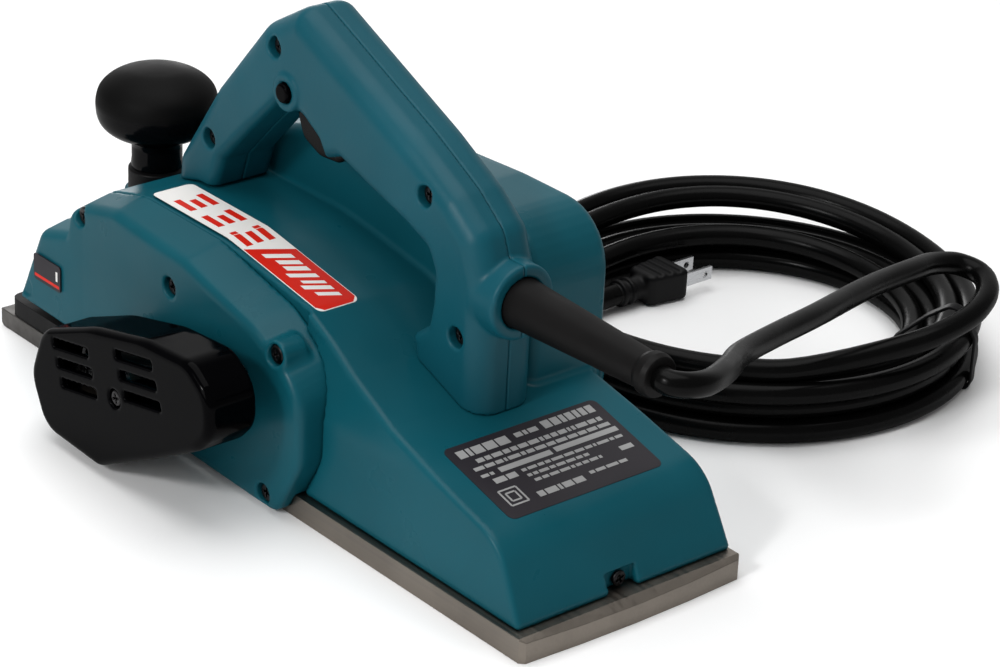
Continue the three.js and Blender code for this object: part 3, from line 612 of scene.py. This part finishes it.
def mains_lead():
    x, start, z = PLUG["x"], PLUG["start"], PLUG["z"]
    tail = [(x - 10.5, start + 32.5, 5.5), (x - 3, start + 20.5, 6.4), (x - 0.2, start + 8, 7.5),
            (x, start - 6, z)]
    route = smooth_path([*LEAD, *coil_route(), *tail], 6)
    curve = bpy.data.curves.new("mains_lead", "CURVE")
    curve.dimensions = "3D"
    curve.bevel_depth = CORD_R * MM
    curve.bevel_resolution = 6
    curve.use_fill_caps = True
    spline = curve.splines.new("POLY")
    spline.points.add(len(route) - 1)
    for point, place in zip(spline.points, route):
        point.co = (*(place * MM), 1)
    spline.use_smooth = True
    curve.materials.append(PVC)
    lead = bpy.data.objects.new("mains_lead", curve)
    bpy.context.scene.collection.objects.link(lead)
    length = float(np.linalg.norm(np.diff(route, axis=0), axis=1).sum()) * MM
    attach(lead, "planer")
    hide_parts("cord_lead", "cord_coil")
    return lead, length


lead, lead_length = mains_lead()


def plug_piece():
    x, z, start = PLUG["x"], PLUG["z"], PLUG["start"]

    def cone(px, py, pz):
        return np.sqrt((px - x) ** 2 + (pz - z) ** 2) - (4.6 + 1.4 * (start - py) / 28)

    boot = meet(0.8, cone, slab(1, start - 30, start))
    ribs = [rod(1, (x, z), 6.4, start - y - 1.1, start - y + 1.1, 0.5) for y in (8, 13)]
    head = meet(2.4, along_z([(x - 11, start - 42, 3), (x - 8, start - 20, 4), (x + 8, start - 20, 4),
                              (x + 11, start - 42, 3)]), slab(2, z - 7.4, z + 7.4))
    grips = [block((x - 20, start - y - 1.2, z + low), (x + 20, start - y + 1.2, z + high), 0.3)
             for low, high in ((6.5, 9), (-9, -6.6)) for y in (26, 31, 36)]
    shape = cut(0.5, join(1.5, join(0.6, boot, *ribs), head), *grips)
    return moulding("plug_body", shape, 0.7, BLACK)


def cord_tie():
    """A flat band round the bundle, open under it."""
    angle = math.radians(COIL_TIE)
    c, s = math.cos(angle), math.sin(angle)
    hull = [(slot_radius(r, angle), z) for r, z in ((96, 31.3), (101.5, 22.6), (101.5, 5.3), (77, 5.3),
                                                    (74.7, 13.9), (88, 26))]
    loop = polygon(hull)

    def band(x, y, z):
        u, v = x - COIL_CENTRE[0], y - COIL_CENTRE[1]
        out, along = c * u + s * v, c * v - s * u
        round_it = np.abs(loop(out, z) - 5.9) - 0.65
        return np.maximum(round_it, np.abs(along) - 2.6)

    return moulding("cord_tie", meet(0.3, band, slab(2, 0.1, 60)), 0.5, BLACK)


plug = plug_piece()
tie = cord_tie()


# ---- Shells ----
def fallen(field):
    """The field sheared so that it drops outwards from the seam."""
    return lambda x, y, z: field(x, y, z + SIDE_FALL * (y - SEAM_Y))


def shifted(field, dx):
    return lambda x, y, z: field(x - dx, y, z)


def side_profile():
    deep = [(x, z - 12 if z < 2 else z, *r) for x, z, *r in SIDE_SHELL]
    return meet(0, fallen(along_y(deep)), along_y(SIDE_SHELL))


def motor_housing():
    side = along_y(HOUSING_DEEP)
    rear = meet(2, side, along_x(REAR_SECTION))
    side_room = meet(0, shifted(side_profile(), -2 * GAP), along_z(SIDE_PLAN), slab(1, SEAM_Y, 100))
    rear = meet(0.5, rear, slab(0, -200, -28), negative(side_room))
    front = meet(5, side, along_x(FRONT_SECTION))
    front = meet(0.5, front, slab(0, -50, 200), slab(1, -100, SEAM_Y))
    hump = meet(6, along_y(HUMP_OUTLINE), slab(1, HUMP["right"], HUMP["left"]))
    body = join(2, join(0, rear, front), hump)
    under = join(0, slab(2, -100, 10.3), block((28, -200, -100), (300, 200, 18.8)))
    body = cut(0.3, body, under)
    knob_boss = rod(2, (KNOB_X, 0), 14, 50, 66.6, 1)
    bearing_boss = rod(1, DRUM, 17, -68, RIGHT_Y + 5, 1.5)
    body = join(1.5, body, knob_boss, bearing_boss)
    motor_bore = rod(1, MOTOR, MOTOR_CAVITY, -70, 50)
    hump_bore = cut(0, rod(1, END["at"], END["r"] - HUMP["wall"] + 1, -70, HUMP["left"] - HUMP["wall"]),
                    block((-150, -100, -50), (100, 0, 14)))
    drum_bore = join(0, rod(1, DRUM, 28, -56.5, 50), block((27, -56.5, 0), (84, 50, 22)))
    drum_seat = rod(1, DRUM, 13.3, -66.5, -50)
    chip_duct = join(0, meet(0, along_y(DUCT), slab(1, -70, 28)),
                     meet(0, along_y(DUCT_ROOF), slab(1, -54, HUMP["left"] - HUMP["wall"])))
    nose = meet(0, along_y([(108, 10), (162, 10), (143, 56, 5), (112, 60, 5)]), slab(1, -54, 37))
    nose = cut(0, nose, tube(2, (KNOB_X, 0), 10))
    screw_bore = tube(2, (KNOB_X, 0), 4.3)
    rear_room = meet(0, along_y([(-162, 5), (-150, 35, 8), (-88, 51, 6), (-56, 58, 6), (-50, 5)]),
                     slab(1, -45, 40))
    end_recess = rod(1, END["at"], END["r"] + GAP, -70, END["recess"])
    body = cut(0, body, motor_bore, hump_bore, drum_bore, drum_seat, chip_duct, nose, screw_bore, rear_room,
               end_recess)
    notch = block((-190, -NOTCH["half"], -5), (NOTCH["x"], NOTCH["half"], NOTCH["top"]), 0.6)
    screw_hole = rod(0, (0, REAR_SCREW[2]), 2, NOTCH["x"] - 1, REAR_SCREW[0] + 14)
    return cut(0, cut(0.4, body, notch), screw_hole)


def side_housing():
    shell = meet(4.2, side_profile(), along_z(SIDE_PLAN), slab(1, 0, 64.5))
    shell = meet(0.5, shell, slab(1, SEAM_Y + GAP, 100))
    boss = rod(1, DRUM, 16.5, 55, 67, 1)
    x, y, z = SIDE_SCREWS[1]
    screw_boss = rod(1, (x, z), 5.9, 50, y + 0.4, 1.2)
    shell = join(3, join(1.5, shell, boss), screw_boss)
    tools = [
        block((-60, 30, -5), (62, 56.3, 10.6)),
        rod(1, DRUM, 28, 40, 56), block((27, 40, 0), (84, 56, 22)), rod(1, DRUM, 13.3, 50, 65),
        rod(1, DRUM, 7, 50, 70), rod(1, MOTOR, 24, 40, 57), rod(1, MOTOR, 11.3, 50, 62.3),
        rod(1, MOTOR, 6, 50, 70),
        meet(0, along_y([(108, 23), (158, 23), (142, 56, 5), (112, 64, 5)]), slab(1, 40, 53)),
    ]
    shell = cut(0, shell, *tools)
    pockets = [rod(1, (x, z), SCREW["pocket"], y - SCREW["sunk"], 80) for x, y, z in SIDE_SCREWS]
    pockets.append(rod(1, (156, 27), 4.5, 55.5, 80))
    bores = [rod(1, (x, z), SCREW["bore"], y - 12, y + 2) for x, y, z in SIDE_SCREWS]
    return cut(0, cut(0.8, shell, *pockets), *bores)


moulding("motor_housing", motor_housing(), 1.25, TEAL)
moulding("side_housing", side_housing(), 1.0, TEAL)


# ---- Handle ----
def handle():
    arch = meet(10, along_y(HANDLE_OUTER), slab(1, -HANDLE_HALF, HANDLE_HALF))
    arch = cut(4.5, arch, along_y(HANDLE_INNER))
    collar = rod(0, (0, GUARD_Z), 15.5, -105, -90, 1.6)
    ring = rod(1, LOCK, 8, 5, 16.6, 1)
    body = join(1, join(1.2, arch, collar), ring)
    under_deck = along_y([(u, v + GAP, *r) for u, v, *r in HOUSING])
    body = cut(0.5, body, under_deck)
    width = slab(1, -10, 10)
    pocket = meet(0, along_y([(30, 176), (20, 178), (-58, 139), (-64, 131), (-62, 122), (-20, 136),
                              (24, 155)]), width)
    post_pocket = block((-90, -10, 62), (-73, 10, 116), 3)
    strut_pocket = meet(2, along_y([(91, 100), (68, 134), (54, 150), (52, 142), (80, 104)]), width)
    bosses = [rod(1, (x, z), 4.5, -12, 12) for x, _, z in HANDLE_SCREWS]
    throat = block((-8, -6.5, 125), (28, 6.5, 160), 0.5)
    lock_bore = rod(1, LOCK, 4.4, 3, 30)
    cord_bore = rod(0, (0, GUARD_Z), 10.6, -120, -88)
    pockets = [rod(1, (x, z), SCREW["pocket"], y - SCREW["sunk"], 30) for x, y, z in HANDLE_SCREWS]
    bores = [rod(1, (x, z), SCREW["bore"], y - 11.4, y + 2) for x, y, z in HANDLE_SCREWS]
    body = cut(0, body, cut(0, join(0, pocket, post_pocket, strut_pocket), *bosses))
    body = cut(0.5, body, throat, lock_bore, cord_bore)
    return cut(0, cut(0.8, body, *pockets), *bores)


HANDLE = handle()
moulding("handle_left", meet(0.25, HANDLE, slab(1, PARTING, 60)), 0.9, TEAL_GRIP)
moulding("handle_right", meet(0.25, HANDLE, slab(1, -60, -PARTING)), 0.9, TEAL_GRIP)
moulding("trigger", meet(1.4, along_y(TRIGGER), slab(1, -6.1, 6.1)), 0.6, TRIGGER_BLACK,
         "switch_trigger")
moulding("lock_button", rod(1, LOCK, 4.1, 6.6, 18.4, 1.1), 0.5, GLOSS, "lock_on_button")


# ---- Belt side ----
def inset(points, by):
    """The outline drawn in towards its middle."""
    cx = sum(p[0] for p in points) / len(points)
    cz = sum(p[1] for p in points) / len(points)
    out = []
    for x, z, r in points:
        reach = math.hypot(x - cx, z - cz)
        keep = (reach - by * 1.25) / reach
        out.append((cx + (x - cx) * keep, cz + (z - cz) * keep, r))
    return out


def belt_case():
    outer = meet(0.8, along_y(NECK_OUTLINE), slab(1, 64.8, 78))
    return cut(0, outer, along_y(inset(NECK_OUTLINE, 2.4)))


def belt_cover():
    outer = meet(3.6, along_y(COVER_OUTLINE), slab(1, 60, 101))
    outer = meet(1.2, outer, slab(1, 78.3, 120))
    inner = meet(2.5, along_y(inset(COVER_OUTLINE, 3.2)), slab(1, 60, 97.6))
    x, y, z = COVER_SCREW
    post = rod(1, (x, z), 4.5, 78.6, 99, 0.5)
    slots = []
    for sx, sz in COVER_SLOTS:
        for row in (-1, 0, 1):
            u, v = sx + row * 3, sz + row * 7.8
            slot = block((u - 13, 94, v - 2), (u + 13, 110, v + 2), 1.2)
            slots.append(tilted(slot, (u, v), 0.2))
    well = rod(1, (x, z), 4, y - SCREW["sunk"], 110)
    bore = rod(1, (x, z), SCREW["bore"], 70, 110)
    return cut(0, cut(0.7, join(0.6, cut(0, outer, inner), post), *slots, well), bore)


moulding("belt_case", belt_case(), 1.0, BLACK)
moulding("belt_cover", belt_cover(), 0.8, GLOSS)


# ---- Knob, guard and other round pieces ----
def knob():
    low = 77.3
    neck = [(4.3, 90), (4.3, low), (11.2, low), (11.4, 77.7), (11, 81), (11, 86)]
    flare = smooth_path([(11, 87), (12.4, 89.6), (16.5, 91.7), (20.5, 93.7), (23.9, 96.6), (25.7, 100),
                         (26.4, 104.5), (26.2, 108.5), (24.9, 112.6), (22.2, 115.8), (18, 118.6),
                         (12.5, 120.6), (6, 121.4), (0, 121.6)], 5)
    piece = lathe("knob_head_turned", [(0, 90), *neck, *flare.tolist()], (KNOB_X, 0, 0), 2, KNOB_FINISH, 96)
    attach(piece, "depth_knob")
    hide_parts("knob_head")


def depth_ring():
    profile = rounded([(4.6, 66.9), (12.5, 66.9, 0.5), (12.5, 76.2, 0.9), (11.2, 77, 0.5), (4.6, 77)])
    piece = lathe("depth_scale_turned", [*profile, profile[0]], (KNOB_X, 0, 0), 2, BLACK, 72)
    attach(piece, "planer")
    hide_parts("depth_scale")


def cord_guard():
    profile = rounded([(0, -182), (8, -182, 0.6), (8.8, -179.6, 1.4), (8.6, -176.6, 1.4), (7.5, -174.4, 1),
                       (9.4, -125), (10.2, -105), (10.2, -92, 1), (0, -92)])
    piece = lathe("cord_guard_turned", profile, (0, 0, GUARD_Z), 0, RUBBER, 72)
    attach(piece, "planer")
    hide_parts("cord_guard")


knob()
depth_ring()
cord_guard()


# ---- Screws ----
def screw_field(head_r, grip):
    """A cross-slotted screw with its head's face at y 0 and its shank along -Y."""
    head = meet(0.9, tube(1, (0, 0), head_r), slab(1, -2, 0))
    dish = join(0.4, head, rod(1, (0, 0), SCREW["shank"], -grip, -1))
    cross = [block((-u, -1.3, -v), (u, 1, v), 0.1) for u, v in ((2.1, 0.45), (0.45, 2.1))]
    return cut(0.15, dish, *cross)


def screw_mesh(head_r, grip):
    first = field_mesh("screw_pattern", screw_field(head_r, grip), (-4.5, -grip, -4.5), (4.5, 1, 4.5), 0.3,
                       DARK_STEEL)
    mesh = first.data
    bpy.data.objects.remove(first)
    return mesh


def set_screw(node, mesh, place, turn):
    piece = bpy.data.objects.new(node + "_head", mesh.copy())
    piece.data.transform(Matrix.Translation([c * MM for c in place]) @ turn)
    bpy.context.scene.collection.objects.link(piece)
    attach(piece, "planer")
    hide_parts(node)


def screws():
    common, short = screw_mesh(SCREW["head"], 9), screw_mesh(SCREW["head"], 4.4)
    for family, places in (("side_screw", SIDE_SCREWS), ("handle_screw", HANDLE_SCREWS)):
        for i, place in enumerate(places):
            mesh = short if (family, i) == ("side_screw", 2) else common
            set_screw(f"{family}_{i + 1}", mesh, place, Matrix.Rotation(0.5 + 1.3 * i, 4, "Y"))
    set_screw("cover_screw", screw_mesh(3.4, 22), COVER_SCREW, Matrix.Rotation(0.3, 4, "Y"))
    rearwards = Matrix.Rotation(math.radians(90), 4, "Z") @ Matrix.Rotation(0.4, 4, "Y")
    set_screw("rear_screw", screw_mesh(3.2, 13), REAR_SCREW, rearwards)


screws()


# ---- Decals ----
def deck_height(x):
    """Height of the deck's rounded upper line at x."""
    line = rounded(HOUSING, 12)
    top = np.array([p for p in line if p[1] > 36 and -158 < p[0] < 126])
    top = top[np.argsort(top[:, 0])]
    return np.interp(x, top[:, 0], top[:, 1])


def clip_span(corners, x):
    """The lowest and highest y of a convex polygon at x."""
    hits = []
    for (x0, y0), (x1, y1) in zip(corners, np.roll(corners, -1, axis=0)):
        if min(x0, x1) - 1e-9 <= x <= max(x0, x1) + 1e-9:
            t = 0.5 if abs(x1 - x0) < 1e-9 else (x - x0) / (x1 - x0)
            hits += [y0, y1] if abs(x1 - x0) < 1e-9 else [y0 + t * (y1 - y0)]
    return min(hits), max(hits)


SHEET_STEP = 4.0


def sheet_part(corners, low, high):
    """A thin closed sheet over a convex area of the deck, given as corners (x, y)."""
    corners = np.array(corners, float)
    x0, x1 = corners[:, 0].min() + 0.02, corners[:, 0].max() - 0.02
    even = np.linspace(x0, x1, max(2, int((x1 - x0 + 0.04) / SHEET_STEP) + 1))
    stations = []
    for x in sorted({*np.clip(corners[:, 0], x0, x1), *even}):
        if not stations or x - stations[-1] > 0.02:
            stations.append(x)
    points, faces = [], []
    for x in stations:
        y0, y1 = clip_span(corners, x)
        y1 = max(y1, y0 + 0.02)
        z = float(deck_height(x))
        points += [(x, y0, z + low), (x, y1, z + low), (x, y1, z + high), (x, y0, z + high)]
    for i in range(len(stations) - 1):
        a, b = 4 * i, 4 * i + 4
        for k in range(4):
            m = (k + 1) % 4
            faces.append((a + k, a + m, b + m, b + k))
    last = 4 * len(stations) - 4
    faces += [(3, 2, 1, 0), (last, last + 1, last + 2, last + 3)]
    return points, faces


def print_piece(name, areas, low, high, material):
    """One piece of several separate thin sheets."""
    points, faces = [], []
    for corners in areas:
        more, quads = sheet_part(corners, low, high)
        faces += [tuple(i + len(points) for i in quad) for quad in quads]
        points += more
    piece = mesh_object(name, np.array(points), np.array(faces), material, smooth=False)
    tidy(piece)
    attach(piece, "planer")
    return piece


def round_area(area, r):
    front, rear, right, left = (area[k] for k in ("front", "rear", "right", "left"))
    return rounded([(front, right, r), (front, left, r), (rear, left, r), (rear, right, r)], 5)


def rectangle(u0, u1, v0, v1):
    return [(u0, v0), (u1, v0), (u1, v1), (u0, v1)]


def bar(x, y, half_x, half_y):
    return rectangle(x - half_x, x + half_x, y - half_y, y + half_y)


def line_of_marks(x, start, end, height, seed):
    """Blocks of uneven width in a row along Y, like a line of small print without its words."""
    areas, y, k = [], start, seed
    while y < end - 1.2:
        k = (k * 37 + 11) % 101
        width = min(1.2 + 4.6 * (k / 101), end - y)
        areas.append(bar(x, y + width / 2, height / 2, width / 2))
        y += width + 0.8
    return areas


def rating_plate():
    plate = print_piece("rating_plate_sheet", [round_area(PLATE_AREA, 3)], 0.02, 0.22, PLATE)
    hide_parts("rating_plate")
    marks = []
    for i, (x, height, start, end) in enumerate((
        (-111.6, 4.2, 10, 35), (-111.2, 2.4, -5, 7), (-110.8, 4.2, -34, -8),
        (-117.0, 2.2, -33, 30), (-120.7, 1.9, -34, 35),
        (-129.0, 2.8, 20, 33), (-128.4, 1.5, -34, 17), (-131.6, 1.5, -14, 17), (-134.8, 1.5, -18, 17),
        (-141.8, 2.9, -3, 20), (-140.4, 1.6, -26, -7),
    )):
        marks += line_of_marks(x, start, end, height, 13 * i + 5)
    marks += [bar(-124.6, 12, 1.3, 13), bar(-124.2, -19, 1.3, 16)]
    marks += line_of_marks(-124.9, 28, 35, 1.6, 71)
    x, y = -138.5, 29.5
    for half in (4.2, 2.2):
        marks += [bar(x - half, y, 0.4, half), bar(x + half, y, 0.4, half), bar(x, y - half, half, 0.4),
                  bar(x, y + half, half, 0.4)]
    marks += [bar(-134.4, -31, 1.2, 3.2)]
    print_piece("rating_plate_print", marks, 0.2, 0.27, PLATE_INK)


def top_label():
    sheet = print_piece("top_label_sheet", [round_area(STICKER, 3)], 0.02, 0.2, LABEL_WHITE)
    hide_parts("top_label")
    lean, edge = 9, 0.35
    low, high = STICKER["right"] + edge, STICKER["left"] - edge
    split, end = 12, STICKER["rear"]
    rear = [(split, low), (split + lean, high), (end + 3, high), (end + edge, high - 2.7),
            (end + edge, low + 2.7), (end + 3, low)]
    ribs = []
    for x in (66, 46.5, 27):
        for dy, width in ((4, 12.5), (9.6, 9), (15.2, 12.5)):
            ribs.append(bar(x + 0.4 * (width - 9), low + dy, width / 2, 1.6))
    print_piece("top_label_red", [rear, *ribs], 0.18, 0.25, LABEL_RED)
    strokes = []
    for x, width, tall in ((6.5, 3.2, 1.0), (1.2, 3.2, 0.8), (-4, 3.4, 0.8), (-9.6, 3, 1.0),
                           (-14.6, 2.2, 0.8), (-19.4, 3, 1.0), (-24.4, 2.6, 0.8)):
        y0, y1 = low + 4.2, low + 4.2 + 11 * tall
        run = lean * (y1 - y0) / (high - low)
        strokes.append([(x, y0), (x + width, y0), (x + width + run, y1), (x + run, y1)])
    print_piece("top_label_white", strokes, 0.24, 0.3, LABEL_WHITE)


def side_sheet(name, corners, low, high, material):
    """A thin closed sheet on the left shell, given as a convex outline (x, z)."""
    rim = np.array(corners, float)
    n = len(rim)
    middle = rim.mean(0)
    points = [(x, y, z) for y in (low, high) for x, z in (*rim, middle)]
    faces = []
    for i in range(n):
        k = (i + 1) % n
        faces += [(i, k, n), (n + 1 + k, n + 1 + i, 2 * n + 1),
                  (i, n + 1 + i, k), (k, n + 1 + i, n + 1 + k)]
    piece = mesh_object(name, np.array(points), np.array(faces), material, smooth=False)
    tidy(piece)
    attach(piece, "planer")
    return piece


def side_label():
    (x0, x1), (z0, z1) = (126.5, 147), (35, 47)
    outline = rounded([(*corner, 1.5) for corner in rectangle(x0, x1, z0, z1)], 4)
    sheet = side_sheet("side_label_sheet", outline, 57.5, 58.1, PLATE)
    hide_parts("side_label")
    stripe = rectangle(x0 + 0.8, x1 - 0.8, z0 + 1.5, z0 + 2.9)
    side_sheet("side_label_line", stripe, 58.05, 58.15, LABEL_RED)
    mark = rectangle(x0 + 2, x0 + 3.4, z0 + 4.6, z1 - 3)
    side_sheet("side_label_mark", mark, 58.05, 58.15, LABEL_WHITE)


rating_plate()
top_label()
side_label()


# ---- Pieces that keep their CAD mesh ----
def dress(node, material, edge=0.0):
    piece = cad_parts[node]
    piece.data.materials.clear()
    piece.data.materials.append(material)
    if edge:
        weld = piece.modifiers.new("weld", "WELD")
        weld.merge_threshold = 1e-6
        bevel = piece.modifiers.new("bevel", "BEVEL")
        bevel.width = edge * MM
        bevel.segments = 3
        bevel.limit_method = "ANGLE"
        bevel.angle_limit = math.radians(35)
        bevel.harden_normals = False


CARRIED = {
    ALUMINIUM: ("machined_aluminium", ["rear_base", "drum"]),
    CASTING: ("dark_casting", ["front_base"]),
    BLACK: ("black_plastic", ["base_carrier", "fan", "chip_outlet", "switch_body", "cord_clamp"]),
    RUBBER: ("rubber", ["drive_belt"]),
    STEEL: ("steel", ["motor_pulley", "drum_pulley", "blade_1", "blade_2", "armature", "motor_bearing_left",
                      "motor_bearing_right", "drum_bearing_left", "drum_bearing_right", "knob_screw",
                      "plug_blade_1", "plug_blade_2"]),
    DARK_STEEL: ("black_steel", ["blade_clamp_1", "blade_clamp_2", "stator", "brush_front", "brush_rear",
                                 "end_screw_1", "end_screw_2"]),
    COPPER: ("copper", ["commutator"]),
    TEAL: ("teal_plastic", ["end_cover"]),
}
for material, (slot, nodes) in CARRIED.items():
    for node in nodes:
        dress(node, material, 0.4 if node in ("rear_base", "front_base", "base_carrier") else 0.0)


# ---- Studio ----
def horizon_world():
    """A pale room that is brighter low down in front of the tool."""
    world = bpy.data.worlds.new("studio")
    world.use_nodes = True
    nodes, links = world.node_tree.nodes, world.node_tree.links
    place = nodes.new("ShaderNodeTexCoord").outputs["Generated"]
    ahead = nodes.new("ShaderNodeVectorMath")
    ahead.operation = "DOT_PRODUCT"
    ahead.inputs[1].default_value = (0.77, -0.61, 0.2)
    links.new(place, ahead.inputs[0])
    level = nodes.new("ShaderNodeMapRange")
    for key, value in (("From Min", 0.55), ("From Max", 0.95), ("To Min", 0.3), ("To Max", 1.2)):
        level.inputs[key].default_value = value
    links.new(ahead.outputs["Value"], level.inputs["Value"])
    links.new(level.outputs["Result"], nodes["Background"].inputs["Strength"])
    nodes["Background"].inputs["Color"].default_value = (1, 1, 1, 1)
    return world


def studio():
    scene = bpy.context.scene
    scene.view_settings.view_transform = "Standard"
    floor_mesh = bpy.data.meshes.new("studio_floor")
    bm = bmesh.new()
    bmesh.ops.create_grid(bm, x_segments=8, y_segments=8, size=5)
    bm.to_mesh(floor_mesh)
    bm.free()
    floor = bpy.data.objects.new("studio_floor", floor_mesh)
    floor.location = (0, 0, 0)
    scene.collection.objects.link(floor)
    paper = Finish("studio_paper", Roughness=0.9)
    paper.wire(paper.blend(paper.noise(3, 2), linear(250, 250, 250), linear(253, 253, 253)), "Base Color")
    floor_mesh.materials.append(paper.material)
    scene.world = horizon_world()
    for name, power, size, place, target in (
        ("overhead", 27, 1.8, (0.1, 0.0, 1.9), (0, 0, 0)),
        ("left", 6, 0.8, (-0.3, 1.6, 0.8), (0, 0, 0.06)),
        ("key", 10, 0.25, (-0.25, 1.5, 1.15), (0, 0, 0.06)),
        ("far", 20, 0.8, (2.2, -1.45, 0.2), (0, 0, 0.15)),
    ):
        data = bpy.data.lights.new(name, "AREA")
        data.energy = power
        data.size = size
        lamp = bpy.data.objects.new(name, data)
        lamp.location = place
        lamp.rotation_euler = (Vector(target) - Vector(place)).to_track_quat("-Z", "Y").to_euler()
        scene.collection.objects.link(lamp)


studio()
